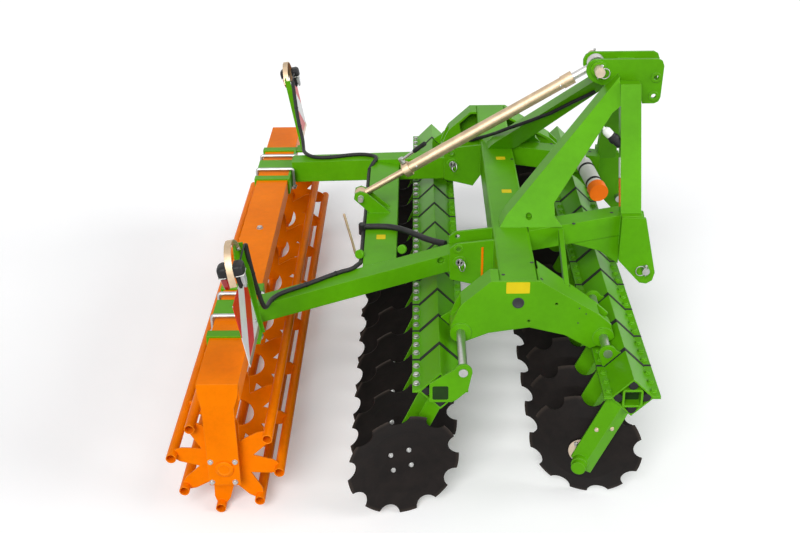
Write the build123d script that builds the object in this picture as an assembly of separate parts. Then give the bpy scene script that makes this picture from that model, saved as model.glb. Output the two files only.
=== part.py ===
from build123d import *
import math
import os

os.makedirs("parts", exist_ok=True)

# Rigid three-metre disc harrow carried on a three-point hitch.
# Millimetres, +X towards the tractor, +Y to the left of travel, +Z up, floor at Z = 0.

# Clearances
RUN = 0.05            # radial running clearance of a turning shaft
SLIP = 0.1            # radial clearance of a fixed rod in its boss
EYE_PLAY = 1.6        # radial clearance at the spindle's rear eye
SIDE_PLAY = 2.0       # axial gap between a turning hub and what carries it

# Gang beams
ROW_FRONT_X = 851.0
ROW_REAR_X = 39.0
BEAM_Z = 600.0
BEAM_W = 86.0
BEAM_WALL = 9.0
BEAM_CORNER = 12.0
PITCH = 250.0
GAP = 14.0            # dark gap between two sleeves
SLEEVES = 12
FRONT_Y0 = -1486.0    # near end of the first front sleeve
REAR_Y0 = -1426.6     # near end of the first rear sleeve
BEAM_OVER = 8.0       # beam end past the last sleeve
LUG_T = 10.0

# Rubber cords between beam and sleeve
CORD_R = 20.0
CORD_SQUEEZE = 16.5   # cord centre to each face that presses it
SHEET_T = 7.0
FLANGE_REACH = 120.0

# Discs
DISC_R = 255.0
DISC_T = 5.0
DISH_DEPTH = 46.0
DISC_FLAT_R = 70.0
NOTCHES = 9
NOTCH_R = 51.4
NOTCH_OUT = 11.4      # notch centre outside the rim
NOTCH_PHASE = 36.0    # angle of the first notch from straight up
DISC_BACK = 160.0     # disc centre behind its beam
DISC_ANGLE = 17.0
FRONT_DISC_Y = 146.0  # disc centre from the near end of its sleeve
REAR_DISC_Y = -68.0
HUB_R = 66.0
HUB_FLANGE_T = 12.0
HUB_BOSS_R = 36.0
HUB_BOSS_L = 34.0
HUB_CLEAR = 6.0
STUB_R = 17.0
STUB_IN = 26.0
HOUSING_R = 36.0
HOUSING_L = 62.0
KNOB_R = 31.0
KNOB_L = 26.0

# Disc arms, folded plate; distances from the beam centre
ARM_TOP = (-44.0, -48.0)
ARM_FOOT = (-193.0, -375.0)
ARM_W = 117.0
ARM_DEPTH = 34.0
ARM_T = 9.0
ARM_HEAD_CUT = 84.0
ARM_FOOT_CUT = 568.0
ARM_SHIFT = {"front": 34.0, "rear": 12.0}

# Guide rods and their lugs
ROD_R = 19.5
ROD_FRONT = (777.0, 672.0)
ROD_REAR = (136.0, 702.0)
LUG_R = 39.0

# Bridge frames
BRIDGE_RIGHT_Y = 1105.0   # outer face of the right side frame
BRIDGE_LEFT_Y = 1170.0    # outer face of the left side frame, set over with the rows
BRIDGE_DEPTH = 120.0
BRIDGE_T = 14.0
BOSS_R = 48.0
BOSS_OUT = 8.0        # boss past the outer face
SLEEVE_CLEAR = 4.0
GUSSET_DEPTH = 80.0
STAY_ROOM_X = (605.0, 633.0)

# Crossbeam
CROSS_X0, CROSS_X1 = 305.0, 477.0
CROSS_Z0, CROSS_Z1 = 770.0, 958.0
CROSS_WALL = 10.0
CROSS_CORNER = 14.0

# Roller frame
PIVOT = (146.0, 834.0)
PIVOT_Y = 605.0       # centre of an arm at its pivot
PIVOT_R = 20.0
PIVOT_BOSS_R = 32.0
PIVOT_OVER = 6.0      # pivot pin past its plates
PIVOT_PIN_WALL = 8.0
ARM_BOX_W = 110.0
ARM_OUTER_H = 92.0
ARM_INNER_H = 126.0
ARM_OVER_PIVOT = 40.0  # arm's top above its pivot
PIVOT_PLATE_T = 12.0
PIVOT_SIDE = 5.0      # gap between arm and pivot plate
UPPER_BORE = (139.0, 904.0)
UPPER_BORE_R, UPPER_BOSS_R = 12.0, 21.0
ROLLER_ARM_END_Y = 866.0
ROLLER_ARM_END_TOP = 739.0
ROLLER_X = -906.0
TUBE_R = 23.0
TUBE_CIRCLE = 238.6
TUBES = 8
TUBE_PHASE = -9.3
ROLLER_HALF = 1500.0
STAR_T = 8.0
ROLLER_BEAM_X0, ROLLER_BEAM_X1 = -992.0, -813.0
ROLLER_BEAM_Z = 697.0
ROLLER_BEAM_H = 90.0
ROLLER_BEAM_T = 9.0
LEG_X0, LEG_X1 = -979.0, -841.0   # end plate below its shoulders
LEG_FOOT_Z = 168.0
END_PLATE_T = 12.0
AXLE_R = 30.0
STAR_HOLE_R = 76.0
BAR_WALL = 4.0
ROLLER_Z = TUBE_R + TUBE_CIRCLE * math.cos(math.radians(TUBE_PHASE))   # one bar on the floor

# Headstock
MAST_X0, MAST_X1 = 940.0, 1040.0
MAST_TOP_Z = 1631.0
POST_BOX_W = 62.0
EAR_Y = 55.0          # inner face of a top-bracket plate
EAR_T = 14.0
TOP_HOLES = ((1128.0, 1538.0), (1123.0, 1442.0))
TOP_HOLE_R = 12.75
SPINDLE_PIN = (840.0, 1588.0)
SPINDLE_PIN_R = 25.0
SPINDLE_PIN_OVER = 80.0
LINK_Y = 435.0        # middle of a lower-link clevis
LINK_GAP = 62.0
LINK_T = 16.0
LINK_PIN = (1070.0, 690.0)
LINK_PIN_R = 18.3
LINK_GROOVE = 1.0     # relief groove of the pin beside each cheek
LINK_OVER = 40.0

# Spindle
CLEVIS_PIN = (-351.0, 886.0)
CLEVIS_PIN_R = 14.0
TUBE_START = 262.0    # along the spindle from its rear eye
COLLAR = (268.0, 303.0)
COLLAR_R = 40.0
REAR_ROD_END = 480.0


def box(x0, x1, y0, y1, z0, z1):
    """Block between two corners."""
    return Pos((x0 + x1) / 2, (y0 + y1) / 2, (z0 + z1) / 2) * Box(x1 - x0, y1 - y0, z1 - z0)


def side_plane(y):
    """Drawing plane seen from the right of travel, X across and Z up."""
    return Plane(origin=(0, y, 0), x_dir=(1, 0, 0), z_dir=(0, -1, 0))


def slab(points, y0, y1):
    """Plate of an X-Z outline between two Y values."""
    face = make_face(side_plane(y1) * Polyline(*points, close=True))
    return extrude(face, amount=y1 - y0, dir=(0, -1, 0))


def rod_y(x, z, r, y0, y1):
    """Round bar along Y."""
    return extrude(side_plane(y1) * Pos(x, z) * Circle(r), amount=y1 - y0, dir=(0, -1, 0))


def turn_matrix(p, q):
    """Plane at p whose Z runs to q and whose Y leans upward."""
    d = Vector(*q) - Vector(*p)
    x = d.cross(Vector(0, 0, 1))
    return Plane(origin=p, x_dir=tuple(x), z_dir=tuple(d)), d.length


def round_bar(p, q, r):
    """Round bar from p to q."""
    plane, length = turn_matrix(p, q)
    return extrude(plane * Circle(r), amount=length)


def mirrored(shape):
    return mirror(shape, about=Plane.XZ)


def save(name, *solids):
    """Writes one node; several solids stay apart in one file."""
    shape = solids[0] if len(solids) == 1 else Compound(children=list(solids))
    export_step(shape, f"parts/{name}.step")


# Sleeve section around a beam centre
HALF = BEAM_W / 2
SEAT = HALF + CORD_SQUEEZE * (1 + math.sqrt(2))   # inner half diagonal
RIDGE = SEAT + SHEET_T * math.sqrt(2)             # outer half diagonal
ROWS = {
    # row: beam x, near end of first sleeve, disc y from it, which way the knob points
    "front": (ROW_FRONT_X, FRONT_Y0, FRONT_DISC_Y, -1),
    "rear": (ROW_REAR_X, REAR_Y0, REAR_DISC_Y, 1),
}


def v_sheet(bx, y0, y1, up):
    """Upper or lower folded half of a sleeve with its two flanges."""
    pts = [(-FLANGE_REACH, 0), (-FLANGE_REACH, SHEET_T), (-RIDGE + SHEET_T, SHEET_T), (0, RIDGE),
           (RIDGE - SHEET_T, SHEET_T), (FLANGE_REACH, SHEET_T), (FLANGE_REACH, 0), (SEAT, 0),
           (0, SEAT), (-SEAT, 0)]
    return slab([(bx + x, BEAM_Z + up * z) for x, z in pts], y0, y1)


def cord(bx, dx, dz, y0, y1):
    """Rubber cord flattened by the beam face and by two sleeve walls."""
    centre = HALF + CORD_SQUEEZE
    bar = rod_y(bx + dx * centre, BEAM_Z + dz * centre, CORD_R, y0, y1)
    room = [(HALF, -(SEAT - HALF)), (SEAT, 0), (HALF, SEAT - HALF)]
    spin = math.atan2(dz, dx)
    turned = [(bx + a * math.cos(spin) - b * math.sin(spin),
               BEAM_Z + a * math.sin(spin) + b * math.cos(spin)) for a, b in room]
    return bar & slab(turned, y0, y1)


def disc_arm(row, y0):
    """Folded arm with bearing housing, knob and stub axle, joined to the lower sleeve half."""
    bx, _, disc_y, side = ROWS[row]
    ax, az = ARM_TOP
    fx, fz = ARM_FOOT
    length = math.hypot(fx - ax, fz - az)
    ux, uz = (fx - ax) / length, (fz - az) / length
    y_edge = y0 + (ARM_SHIFT[row] if side < 0 else ARM_SHIFT[row] + ARM_T)
    start = Plane(origin=(bx + ax - 90 * ux, y_edge, BEAM_Z + az - 90 * uz),
                  x_dir=(-uz, 0, ux), z_dir=(ux, 0, uz))
    half = ARM_W / 2
    ridge = ARM_DEPTH
    # local y of this plane points to -Y or +Y; the ridge is on the knob's side
    flip = 1 if start.y_dir.Y * side > 0 else -1
    chevron = [(-half, 0), (0, flip * ridge), (half, 0), (half, -flip * ARM_T),
               (0, flip * (ridge - ARM_T * 1.16)), (-half, -flip * ARM_T)]
    arm = extrude(make_face(start * Polyline(*chevron, close=True)), amount=length + 260,
                  dir=(ux, 0, uz))
    far = 600    # reach of the cutting shapes, well past the arm
    keep = slab([(bx - ARM_HEAD_CUT + far, BEAM_Z - far), (bx - ARM_HEAD_CUT - far, BEAM_Z + far),
                 (bx - ARM_FOOT_CUT - far, BEAM_Z + far), (bx - ARM_FOOT_CUT + far, BEAM_Z - far)],
                y0 - 200, y0 + 300)
    arm = arm & keep & box(bx - far, bx + far, y0 - 200, y0 + 300, 0, BEAM_Z)
    centre, along = disc_frame(row, y0)
    flat = DISH_DEPTH + DISC_T + HUB_FLANGE_T + HUB_BOSS_L + SIDE_PLAY
    face = centre + along * flat
    arm -= round_bar(tuple(centre), tuple(face), HUB_BOSS_R + HUB_CLEAR)
    behind_hub = centre + along * (DISH_DEPTH + DISC_T + HUB_FLANGE_T + HUB_CLEAR)
    arm -= round_bar(tuple(centre), tuple(behind_hub), HUB_R + HUB_CLEAR)
    back = face + along * HOUSING_L
    housing = round_bar(tuple(face), tuple(back), HOUSING_R)
    knob = round_bar(tuple(back), tuple(back + along * KNOB_L), KNOB_R)
    stub = round_bar(tuple(face - along * STUB_IN), tuple(face + along * 5), STUB_R)
    return arm + housing + knob + stub


def disc_frame(row, y0):
    """Centre of a disc's rim plane and the unit vector towards its hub."""
    bx, _, disc_y, side = ROWS[row]
    a = math.radians(DISC_ANGLE)
    centre = Vector(bx - DISC_BACK, y0 + disc_y, DISC_R)
    return centre, Vector(-math.sin(a), side * math.cos(a), 0)


def disc(row, y0):
    """Notched dished disc with its hub flange and bored boss."""
    centre, along = disc_frame(row, y0)
    plane = Plane(origin=tuple(centre), x_dir=(0, 0, 1), z_dir=tuple(along))
    # half profile: r from the axis, z towards the hub; rim at z = 0, flat centre at DISH_DEPTH
    rim, flat, t = DISC_R, DISC_FLAT_R, DISC_T
    mid_r, mid_z = (rim + flat) / 2, DISH_DEPTH * 0.60
    hub_end = DISH_DEPTH + t + HUB_FLANGE_T + HUB_BOSS_L
    bore = STUB_R + RUN
    bore_floor = hub_end - STUB_IN
    prof = [(0, DISH_DEPTH), (flat, DISH_DEPTH), (mid_r, mid_z), (rim - 4, 0), (rim, 2), (rim, 4),
            (mid_r, mid_z + t), (flat, DISH_DEPTH + t), (HUB_R, DISH_DEPTH + t),
            (HUB_R, DISH_DEPTH + t + HUB_FLANGE_T), (HUB_BOSS_R, DISH_DEPTH + t + HUB_FLANGE_T),
            (HUB_BOSS_R, hub_end), (bore, hub_end), (bore, bore_floor), (0, bore_floor)]
    wheel = revolve(make_face(Plane.XZ * Polyline(*prof, close=True)), axis=Axis.Z)
    for i in range(NOTCHES):
        a = math.radians(360 / NOTCHES * i + NOTCH_PHASE)
        x, y = (rim + NOTCH_OUT) * math.cos(a), (rim + NOTCH_OUT) * math.sin(a)
        wheel -= Pos(x, y, 10) * Cylinder(NOTCH_R, 60)
    return plane.location * wheel


# Rows of sleeves, arms, cords and discs
for row, (bx, y_first, _, _) in ROWS.items():
    starts = [y_first + PITCH * i for i in range(SLEEVES)]
    run = PITCH - GAP
    roofs = [v_sheet(bx, y, y + run, 1) for y in starts]
    lowers = [v_sheet(bx, y, y + run, -1) + disc_arm(row, y) for y in starts]
    cords = [cord(bx, dx, dz, y, y + run) for y in starts
             for dx, dz in ((1, 0), (0, 1), (-1, 0), (0, -1))]
    save(f"sleeve_roofs_{row}", *roofs)
    save(f"disc_arms_{row}", *lowers)
    save(f"rubber_cords_{row}", *cords)
    for i, y in enumerate(starts):
        save(f"disc_{row}_{i + 1:02d}", disc(row, y))


def gap_y(first, k):
    """Middle of the gap before sleeve k."""
    return first + PITCH * k - GAP / 2


def gang_beam(bx, first, rod, lug_ys):
    """Square tube with the lug plates that carry the guide rods."""
    y0, y1 = first - BEAM_OVER, first + PITCH * SLEEVES - GAP + BEAM_OVER
    tube = box(bx - HALF, bx + HALF, y0, y1, BEAM_Z - HALF, BEAM_Z + HALF)
    beam = fillet(tube.edges().filter_by(Axis.Y), BEAM_CORNER)
    rx, rz = rod
    s = math.copysign(1, rx - bx)
    for y in lug_ys:
        ring = [(bx - s * (HALF + 4), BEAM_Z - HALF - 4), (bx - s * (HALF + 4), BEAM_Z + HALF + 2),
                (rx - s * LUG_R * 0.92, rz + LUG_R * 0.38), (rx - s * LUG_R * 0.38, rz + LUG_R * 0.92),
                (rx, rz), (rx + s * LUG_R, rz), (rx + s * (LUG_R - 18), BEAM_Z + 10),
                (bx + s * (HALF + 25), BEAM_Z - HALF + 6), (bx + s * (HALF + 6), BEAM_Z - HALF - 4)]
        beam += slab(ring, y - LUG_T / 2, y + LUG_T / 2) + rod_y(rx, rz, LUG_R, y - LUG_T / 2,
                                                                 y + LUG_T / 2)
        beam -= rod_y(rx, rz, ROD_R + SLIP, y - 40, y + 40)
    w = BEAM_WALL
    return beam - box(bx - HALF + w, bx + HALF - w, y0 - 5, y1 + 5, BEAM_Z - HALF + w,
                      BEAM_Z + HALF - w)


# Lug positions along each beam: two for the right rod and two for the left rod
FRONT_LUGS = (gap_y(FRONT_Y0, 1), gap_y(FRONT_Y0, 3), gap_y(FRONT_Y0, 9), gap_y(FRONT_Y0, 11))
REAR_LUGS = (REAR_Y0 - BEAM_OVER + LUG_T / 2 - 6, gap_y(REAR_Y0, 2), gap_y(REAR_Y0, 9),
             gap_y(REAR_Y0, 11))
save("gang_beam_front", gang_beam(ROW_FRONT_X, FRONT_Y0, ROD_FRONT, FRONT_LUGS))
save("gang_beam_rear", gang_beam(ROW_REAR_X, REAR_Y0, ROD_REAR, REAR_LUGS))

rods = []
for (rx, rz), lugs in ((ROD_FRONT, FRONT_LUGS), (ROD_REAR, REAR_LUGS)):
    rods.append(rod_y(rx, rz, ROD_R, lugs[0] - LUG_T / 2 - 6, lugs[1] + LUG_T / 2 + 6))
    rods.append(rod_y(rx, rz, ROD_R, lugs[2] - LUG_T / 2 - 6, lugs[3] + LUG_T / 2 + 6))
save("guide_rods", *rods)

# Bridge frames, one box-backed plate each side; outline from the rear boss clockwise
FX, FZ = ROD_FRONT
RX, RZ = ROD_REAR
UPPER = [(RX - 46, RZ + 30), (119, 806), (138, 842), (268, CROSS_Z1), (484, CROSS_Z1), (753, 786),
         (810, 733)]
LOWER = [(FX + 40, FZ - 22), (719, 613), (603, 683), (443, 724), (260, 696), (162, 655)]


def sleeve_room(bx, y0, y1):
    """Space under a sleeve roof and its flanges, with the clearance above them."""
    keep = RIDGE + SLEEVE_CLEAR
    top = BEAM_Z + SHEET_T + SLEEVE_CLEAR
    return slab([(bx - 300, BEAM_Z - 300), (bx - 300, top), (bx - keep + SHEET_T, top),
                 (bx, BEAM_Z + keep), (bx + keep - SHEET_T, top), (bx + 300, top),
                 (bx + 300, BEAM_Z - 300)], y0, y1)


def bridge(outer_y):
    """Right-hand side frame whose outer face lies outer_y from the middle."""
    outer, inner = -outer_y, -outer_y + BRIDGE_DEPTH
    body = slab(UPPER + LOWER, outer, outer + BRIDGE_T)
    # flange along the upper edge, from the rear slope to the front slope
    t = BRIDGE_T
    top = [(138, 842), (268, CROSS_Z1), (484, CROSS_Z1), (753, 786)]
    under = [(759, 786 - 1.5 * t), (482, CROSS_Z1 - t), (270, CROSS_Z1 - t), (138, 842 - 1.3 * t)]
    body += slab(top + under, outer, inner)
    for x, z in (ROD_FRONT, ROD_REAR):
        body += rod_y(x, z, BOSS_R, outer - BOSS_OUT, inner)
    body += slab([(RX - 46, RZ + 30), (119, 806), (138, 842), (200, 897), (230, 720), (RX, RZ)],
                 inner - t, inner)
    body += slab([(FX, FZ), (810, 733), (753, 786), (640, 858), (600, 740)], inner - t, inner)
    for x, z in (ROD_FRONT, ROD_REAR):
        body -= rod_y(x, z, ROD_R + SLIP, outer - 50, inner + 50)
    # the front slope's flange is deeper towards the crossbeam, with room for the stay
    slope = slab([top[2], top[3], under[0], under[1]], inner, inner + GUSSET_DEPTH)
    plan = [(top[2][0], inner), (top[2][0], inner + GUSSET_DEPTH), (top[3][0], inner)]
    slope &= extrude(make_face(Pos(0, 0, 700) * Polyline(*plan, close=True)), amount=300,
                     dir=(0, 0, 1))
    body += slope - box(*STAY_ROOM_X, inner - 1, inner + GUSSET_DEPTH, 780, 880)
    for bx in (ROW_FRONT_X, ROW_REAR_X):
        body -= sleeve_room(bx, outer - 50, inner + 50)
    for x, z, r in ((390, 850, 25), (560, 842, 7), (440, 756, 7)):
        body -= rod_y(x, z, r, outer - 5, outer + t + 5)
    return body - box(CROSS_X0, CROSS_X1, outer + BRIDGE_T, 0, CROSS_Z0, CROSS_Z1)


save("side_frame_right", bridge(BRIDGE_RIGHT_Y))
save("side_frame_left", mirrored(bridge(BRIDGE_LEFT_Y)))

# Crossbeam with the four pivot plates of the roller arms
w = CROSS_WALL
cross_right, cross_left = BRIDGE_T - BRIDGE_RIGHT_Y, BRIDGE_LEFT_Y - BRIDGE_T
cross = box(CROSS_X0, CROSS_X1, cross_right, cross_left, CROSS_Z0, CROSS_Z1)
cross = fillet(cross.edges().filter_by(Axis.Y), CROSS_CORNER)
cross -= box(CROSS_X0 + w, CROSS_X1 - w, cross_right - 1, cross_left + 1, CROSS_Z0 + w,
             CROSS_Z1 - w)
PX, PZ = PIVOT
CHEEK_IN = ARM_BOX_W / 2 + PIVOT_SIDE      # inner face of a pivot plate from the arm's centre
CHEEK_OUT = CHEEK_IN + PIVOT_PLATE_T
CHEEK = [(98, 742), (98, 905), (130, 930), (CROSS_X0 + 8, 950), (CROSS_X0 + 8, 775), (262, 700)]
for side in (-1, 1):
    for y0, y1, boss0, boss1 in (
            (side * PIVOT_Y - CHEEK_OUT, side * PIVOT_Y - CHEEK_IN, 5, 0),
            (side * PIVOT_Y + CHEEK_IN, side * PIVOT_Y + CHEEK_OUT, 0, 5)):
        cross += slab(CHEEK, y0, y1) + rod_y(PX, PZ, PIVOT_BOSS_R, y0 - boss0, y1 + boss1)
        cross += rod_y(*UPPER_BORE, UPPER_BOSS_R, y0 - boss0, y1 + boss1)
        cross -= rod_y(PX, PZ, PIVOT_R + RUN, y0 - 10, y1 + 10)
        cross -= rod_y(*UPPER_BORE, UPPER_BORE_R, y0 - 10, y1 + 10)
save("crossbeam", cross)

# Headstock: two folded braces, two posts, top bracket, lower-link plates, longitudinal boxes


# Slanted plane of a brace: from its foot on the crossbeam up and inward to the top bracket
BRACE_FOOT_Y = -560.0
BRACE_LEAN = 0.732                         # inward per unit of height
BRACE_BOX = 105.0
BRACE_SHEET = 10.0
BRACE_HOLE = (481.0, 1001.0)
BRACE_HOLE_R = 15.0


def brace_points(points):
    """Points of an X-Z outline moved into the slanted plane of the right brace."""
    return [(x, BRACE_FOOT_Y + (z - CROSS_Z1) * BRACE_LEAN, z) for x, z in points]


def sheared(points, depth):
    """Plate in the slanted plane, thickened straight along Y."""
    return extrude(make_face(Polyline(*brace_points(points), close=True)), amount=depth,
                   dir=(0, 1, 0))


# Longitudinal box from the crossbeam forward to the post, drawn in plan, and its skirt
RAIL_OUTER = ((CROSS_X1, -598.0), (MAST_X0 + 5, -431.0))
RAIL_W = 110.0
RAIL_H = 108.0
SKIRT_T = 10.0
SKIRT_IN = 5.0        # behind the longitudinal box's outer face
STRUT_W, STRUT_H = 22.0, 50.0
STRUT_IN = (637.0, -532.0, 915.0)     # centre of the stay at the longitudinal box
STRUT_OUT = (618.0, 846.0)            # X and Z of its centre at the side frame


def strut(outer_y):
    """Flat stay from the longitudinal box out to the flange of a side frame."""
    x0, y0, z0 = STRUT_IN
    x1, z1 = STRUT_OUT
    y1 = BRIDGE_DEPTH - outer_y
    start = Plane(origin=STRUT_IN, x_dir=(1, 0, 0), z_dir=(0, -1, 0))
    return extrude(start * Rectangle(STRUT_W, STRUT_H), amount=y0 - y1,
                   dir=(x1 - x0, y1 - y0, z1 - z0))


def headstock_side():
    """Right half of the headstock."""
    foot_z = CROSS_Z1
    web = [(340, foot_z), (372, 1005), (639, 1265), (941, 1560), (941, 1440), (898, 1411),
           (605, 1054), (606, 1000), (640, foot_z)]
    beam = [(340, foot_z), (372, 1005), (639, 1265), (941, 1560), (941, 1440), (898, 1411),
            (605, 1090), (487, foot_z)]
    brace = sheared(web, BRACE_SHEET) + sheared(beam, BRACE_BOX)
    brace &= box(CROSS_X0, 1000, -900, -EAR_Y, foot_z, 1620)
    hx, hy, hz = brace_points([BRACE_HOLE])[0]
    brace -= rod_y(hx, hz, BRACE_HOLE_R, hy - 25, hy + 25)
    post = extrude(Plane(origin=((MAST_X0 + MAST_X1) / 2, -430, 900), x_dir=(1, 0, 0),
                         z_dir=(0, 0, 1)) * Rectangle(MAST_X1 - MAST_X0, POST_BOX_W),
                   amount=700, dir=(0, 330, 710))
    post &= box(900, 1060, -700, -EAR_Y, 900, 1612)
    rail_plan = [RAIL_OUTER[0], RAIL_OUTER[1], (RAIL_OUTER[1][0], RAIL_OUTER[1][1] + RAIL_W),
                 (RAIL_OUTER[0][0], RAIL_OUTER[0][1] + RAIL_W)]
    rail = extrude(make_face(Pos(0, 0, foot_z - RAIL_H) * Polyline(*rail_plan, close=True)),
                   amount=RAIL_H, dir=(0, 0, 1))
    near, far = RAIL_OUTER
    skirt_plan = [(near[0], near[1] + SKIRT_IN), (far[0], far[1] + SKIRT_IN),
                  (far[0], far[1] + SKIRT_IN + SKIRT_T), (near[0], near[1] + SKIRT_IN + SKIRT_T)]
    skirt = extrude(make_face(Pos(0, 0, 650) * Polyline(*skirt_plan, close=True)), amount=260,
                    dir=(0, 0, 1))
    skirt &= slab([(660, 860), (MAST_X0 + 5, 860), (MAST_X0 + 5, 690), (843, 780), (700, 846)],
                  -700, -200)
    body = brace + post + rail + skirt
    lx, lz = LINK_PIN
    for y0 in (-LINK_Y - LINK_GAP / 2 - LINK_T, -LINK_Y + LINK_GAP / 2):
        cheek = [(MAST_X0, 968), (1056, 962), (1122, 665), (1112, 622), (1084, 604), (1050, 610),
                 (1030, 630), (MAST_X0 - 3, 735)]
        body += slab(cheek, y0, y0 + LINK_T)
    body += box(MAST_X0, 1045, -LINK_Y - LINK_GAP / 2 - 1, -LINK_Y + LINK_GAP / 2 + 1, 800, 968)
    body -= rod_y(lx, lz, LINK_PIN_R + SLIP, -LINK_Y - 150, -LINK_Y + 150)
    return body


half = headstock_side()
head = half + strut(BRIDGE_RIGHT_Y) + mirrored(half + strut(BRIDGE_LEFT_Y))
sx, sz = SPINDLE_PIN
ear = [(815, 1520), (796, 1538), (784, 1562), (783, 1592), (795, 1617), (820, MAST_TOP_Z),
       (1135, MAST_TOP_Z), (1155, 1620), (1164.46, 1595), (1159, 1434), (1150, 1412), (1130, 1402),
       (1071, 1402), (1050, 1500), (860, 1500)]
for y0 in (-EAR_Y - EAR_T, EAR_Y):
    head += slab(ear, y0, y0 + EAR_T)
head += box(955, 1035, -EAR_Y - 1, EAR_Y + 1, 1500, 1600)
for hx, hz in TOP_HOLES:
    for s in (-1, 1):
        y0 = min(s * (EAR_Y + EAR_T), s * (EAR_Y + EAR_T + 8))
        head += rod_y(hx, hz, 24, y0 - 1, y0 + 9)
    head -= rod_y(hx, hz, TOP_HOLE_R, -150, 150)
head += rod_y(sx, sz, 38, -EAR_Y - EAR_T - 22, -EAR_Y) + rod_y(sx, sz, 38, EAR_Y, EAR_Y + EAR_T + 22)
head -= rod_y(sx, sz, SPINDLE_PIN_R + SLIP, -150, 150)
head -= box(CROSS_X0, CROSS_X1, -2000, 2000, CROSS_Z0, CROSS_Z1)
save("headstock", head)


def lower_pin(y):
    """Lower-link pin with a relief groove beside each cheek."""
    half = LINK_GAP / 2
    pin = rod_y(*LINK_PIN, LINK_PIN_R, y - half - LINK_T - LINK_OVER, y + half + LINK_T + LINK_OVER)
    for y0 in (y - half, y + half - LINK_GROOVE):
        ring = rod_y(*LINK_PIN, LINK_PIN_R + 5, y0, y0 + LINK_GROOVE)
        pin -= ring - rod_y(*LINK_PIN, LINK_PIN_R - LINK_GROOVE, y0, y0 + LINK_GROOVE)
    return pin


save("lower_link_pins", *[lower_pin(s * LINK_Y) for s in (-1, 1)])
save("spindle_pin_front", rod_y(sx, sz, SPINDLE_PIN_R, -EAR_Y - EAR_T - SPINDLE_PIN_OVER,
                                EAR_Y + EAR_T + SPINDLE_PIN_OVER))

# Roller arms: box that grows outward to the rear, with a square front plate and saddle straps
SADDLE_T = 12.0
ARM_FACE_X = ROLLER_BEAM_X1 + SADDLE_T
STRAPS = ((640, 690), (800, 930), (1085, 1135))
ARM_LEAN = (PZ + ARM_OVER_PIVOT - ROLLER_ARM_END_TOP) / (PX - ARM_FACE_X)
ARM_NOSE_X = 186.0
ARM_HOLE = (55.0, 839.0)   # blind hole in an arm's outer face
ARM_HOLE_R = 17.0
ARM_HOLE_DEEP = 14.0


def roller_arm(side):
    """Arm with its pivot bush, end plate and straps over the roller beam."""
    z1 = PZ + ARM_OVER_PIVOT + ARM_LEAN * (ARM_NOSE_X - PX)
    y_in, y_out = PIVOT_Y - ARM_BOX_W / 2, PIVOT_Y + ARM_BOX_W / 2
    grow = ROLLER_ARM_END_Y - PIVOT_Y
    drop = ARM_LEAN * (ARM_NOSE_X - ARM_FACE_X)

    def section(x, shift, top):
        pts = [(y_in + shift, top), (y_out + shift, top), (y_out + shift, top - ARM_OUTER_H),
               (y_in + shift, top - ARM_INNER_H)]
        return make_face(Polyline(*[(x, side * y, z) for y, z in pts], close=True))

    arm = loft([section(90, 0, z1 - ARM_LEAN * (ARM_NOSE_X - 90)),
                section(ARM_FACE_X, grow, z1 - drop)], ruled=True)
    nose = extrude(section(ARM_NOSE_X, 0, z1), amount=ARM_NOSE_X - 90 + 1,
                   dir=(-1, 0, -ARM_LEAN))
    face = box(ROLLER_BEAM_X1, ARM_FACE_X, side * 887 - 249, side * 887 + 249, 612, ROLLER_BEAM_Z + 10)
    arm = arm + nose + face
    for y0, y1 in STRAPS:
        ya, yb = sorted((side * y0, side * y1))
        arm += box(ROLLER_BEAM_X0 - 14, ARM_FACE_X, ya, yb, ROLLER_BEAM_Z, ROLLER_BEAM_Z + 10)
        arm += box(ROLLER_BEAM_X0 - 14, ROLLER_BEAM_X0, ya, yb, 650, ROLLER_BEAM_Z + 10)
    y0, y1 = sorted((side * (y_out - ARM_HOLE_DEEP), side * (y_out + 60)))
    return arm - rod_y(*ARM_HOLE, ARM_HOLE_R, y0, y1) - rod_y(PX, PZ, PIVOT_R + RUN, -2000, 2000)


arms = {"right": roller_arm(-1), "left": roller_arm(1)}
for name, arm in arms.items():
    save(f"roller_arm_{name}", arm)
pin_half = CHEEK_OUT + PIVOT_OVER
pins = [rod_y(PX, PZ, PIVOT_R, y - pin_half, y + pin_half)
        - rod_y(PX, PZ, PIVOT_R - PIVOT_PIN_WALL, y - 2 * pin_half, y + 2 * pin_half)
        for y in (-PIVOT_Y, PIVOT_Y)]
save("roller_pivot_pins", *pins)

# Round clamp bolts over the roller beam
CLAMP_R = 10.0
CLAMP_YS = (760, 970)
clamps = []
for s in (-1, 1):
    for y in CLAMP_YS:
        xf, xr = ARM_FACE_X + CLAMP_R + 0.3, ROLLER_BEAM_X0 - CLAMP_R - 0.3
        zt = ROLLER_BEAM_Z + 10 + CLAMP_R + 0.3
        path = FilletPolyline((xf, s * y, 600), (xf, s * y, zt), (xr, s * y, zt), (xr, s * y, 625),
                              radius=CLAMP_R + 1)
        clamps.append(sweep(Plane(origin=(xf, s * y, 600), z_dir=(0, 0, 1)) * Circle(CLAMP_R), path))
save("beam_clamp_bolts", *clamps)

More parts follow.
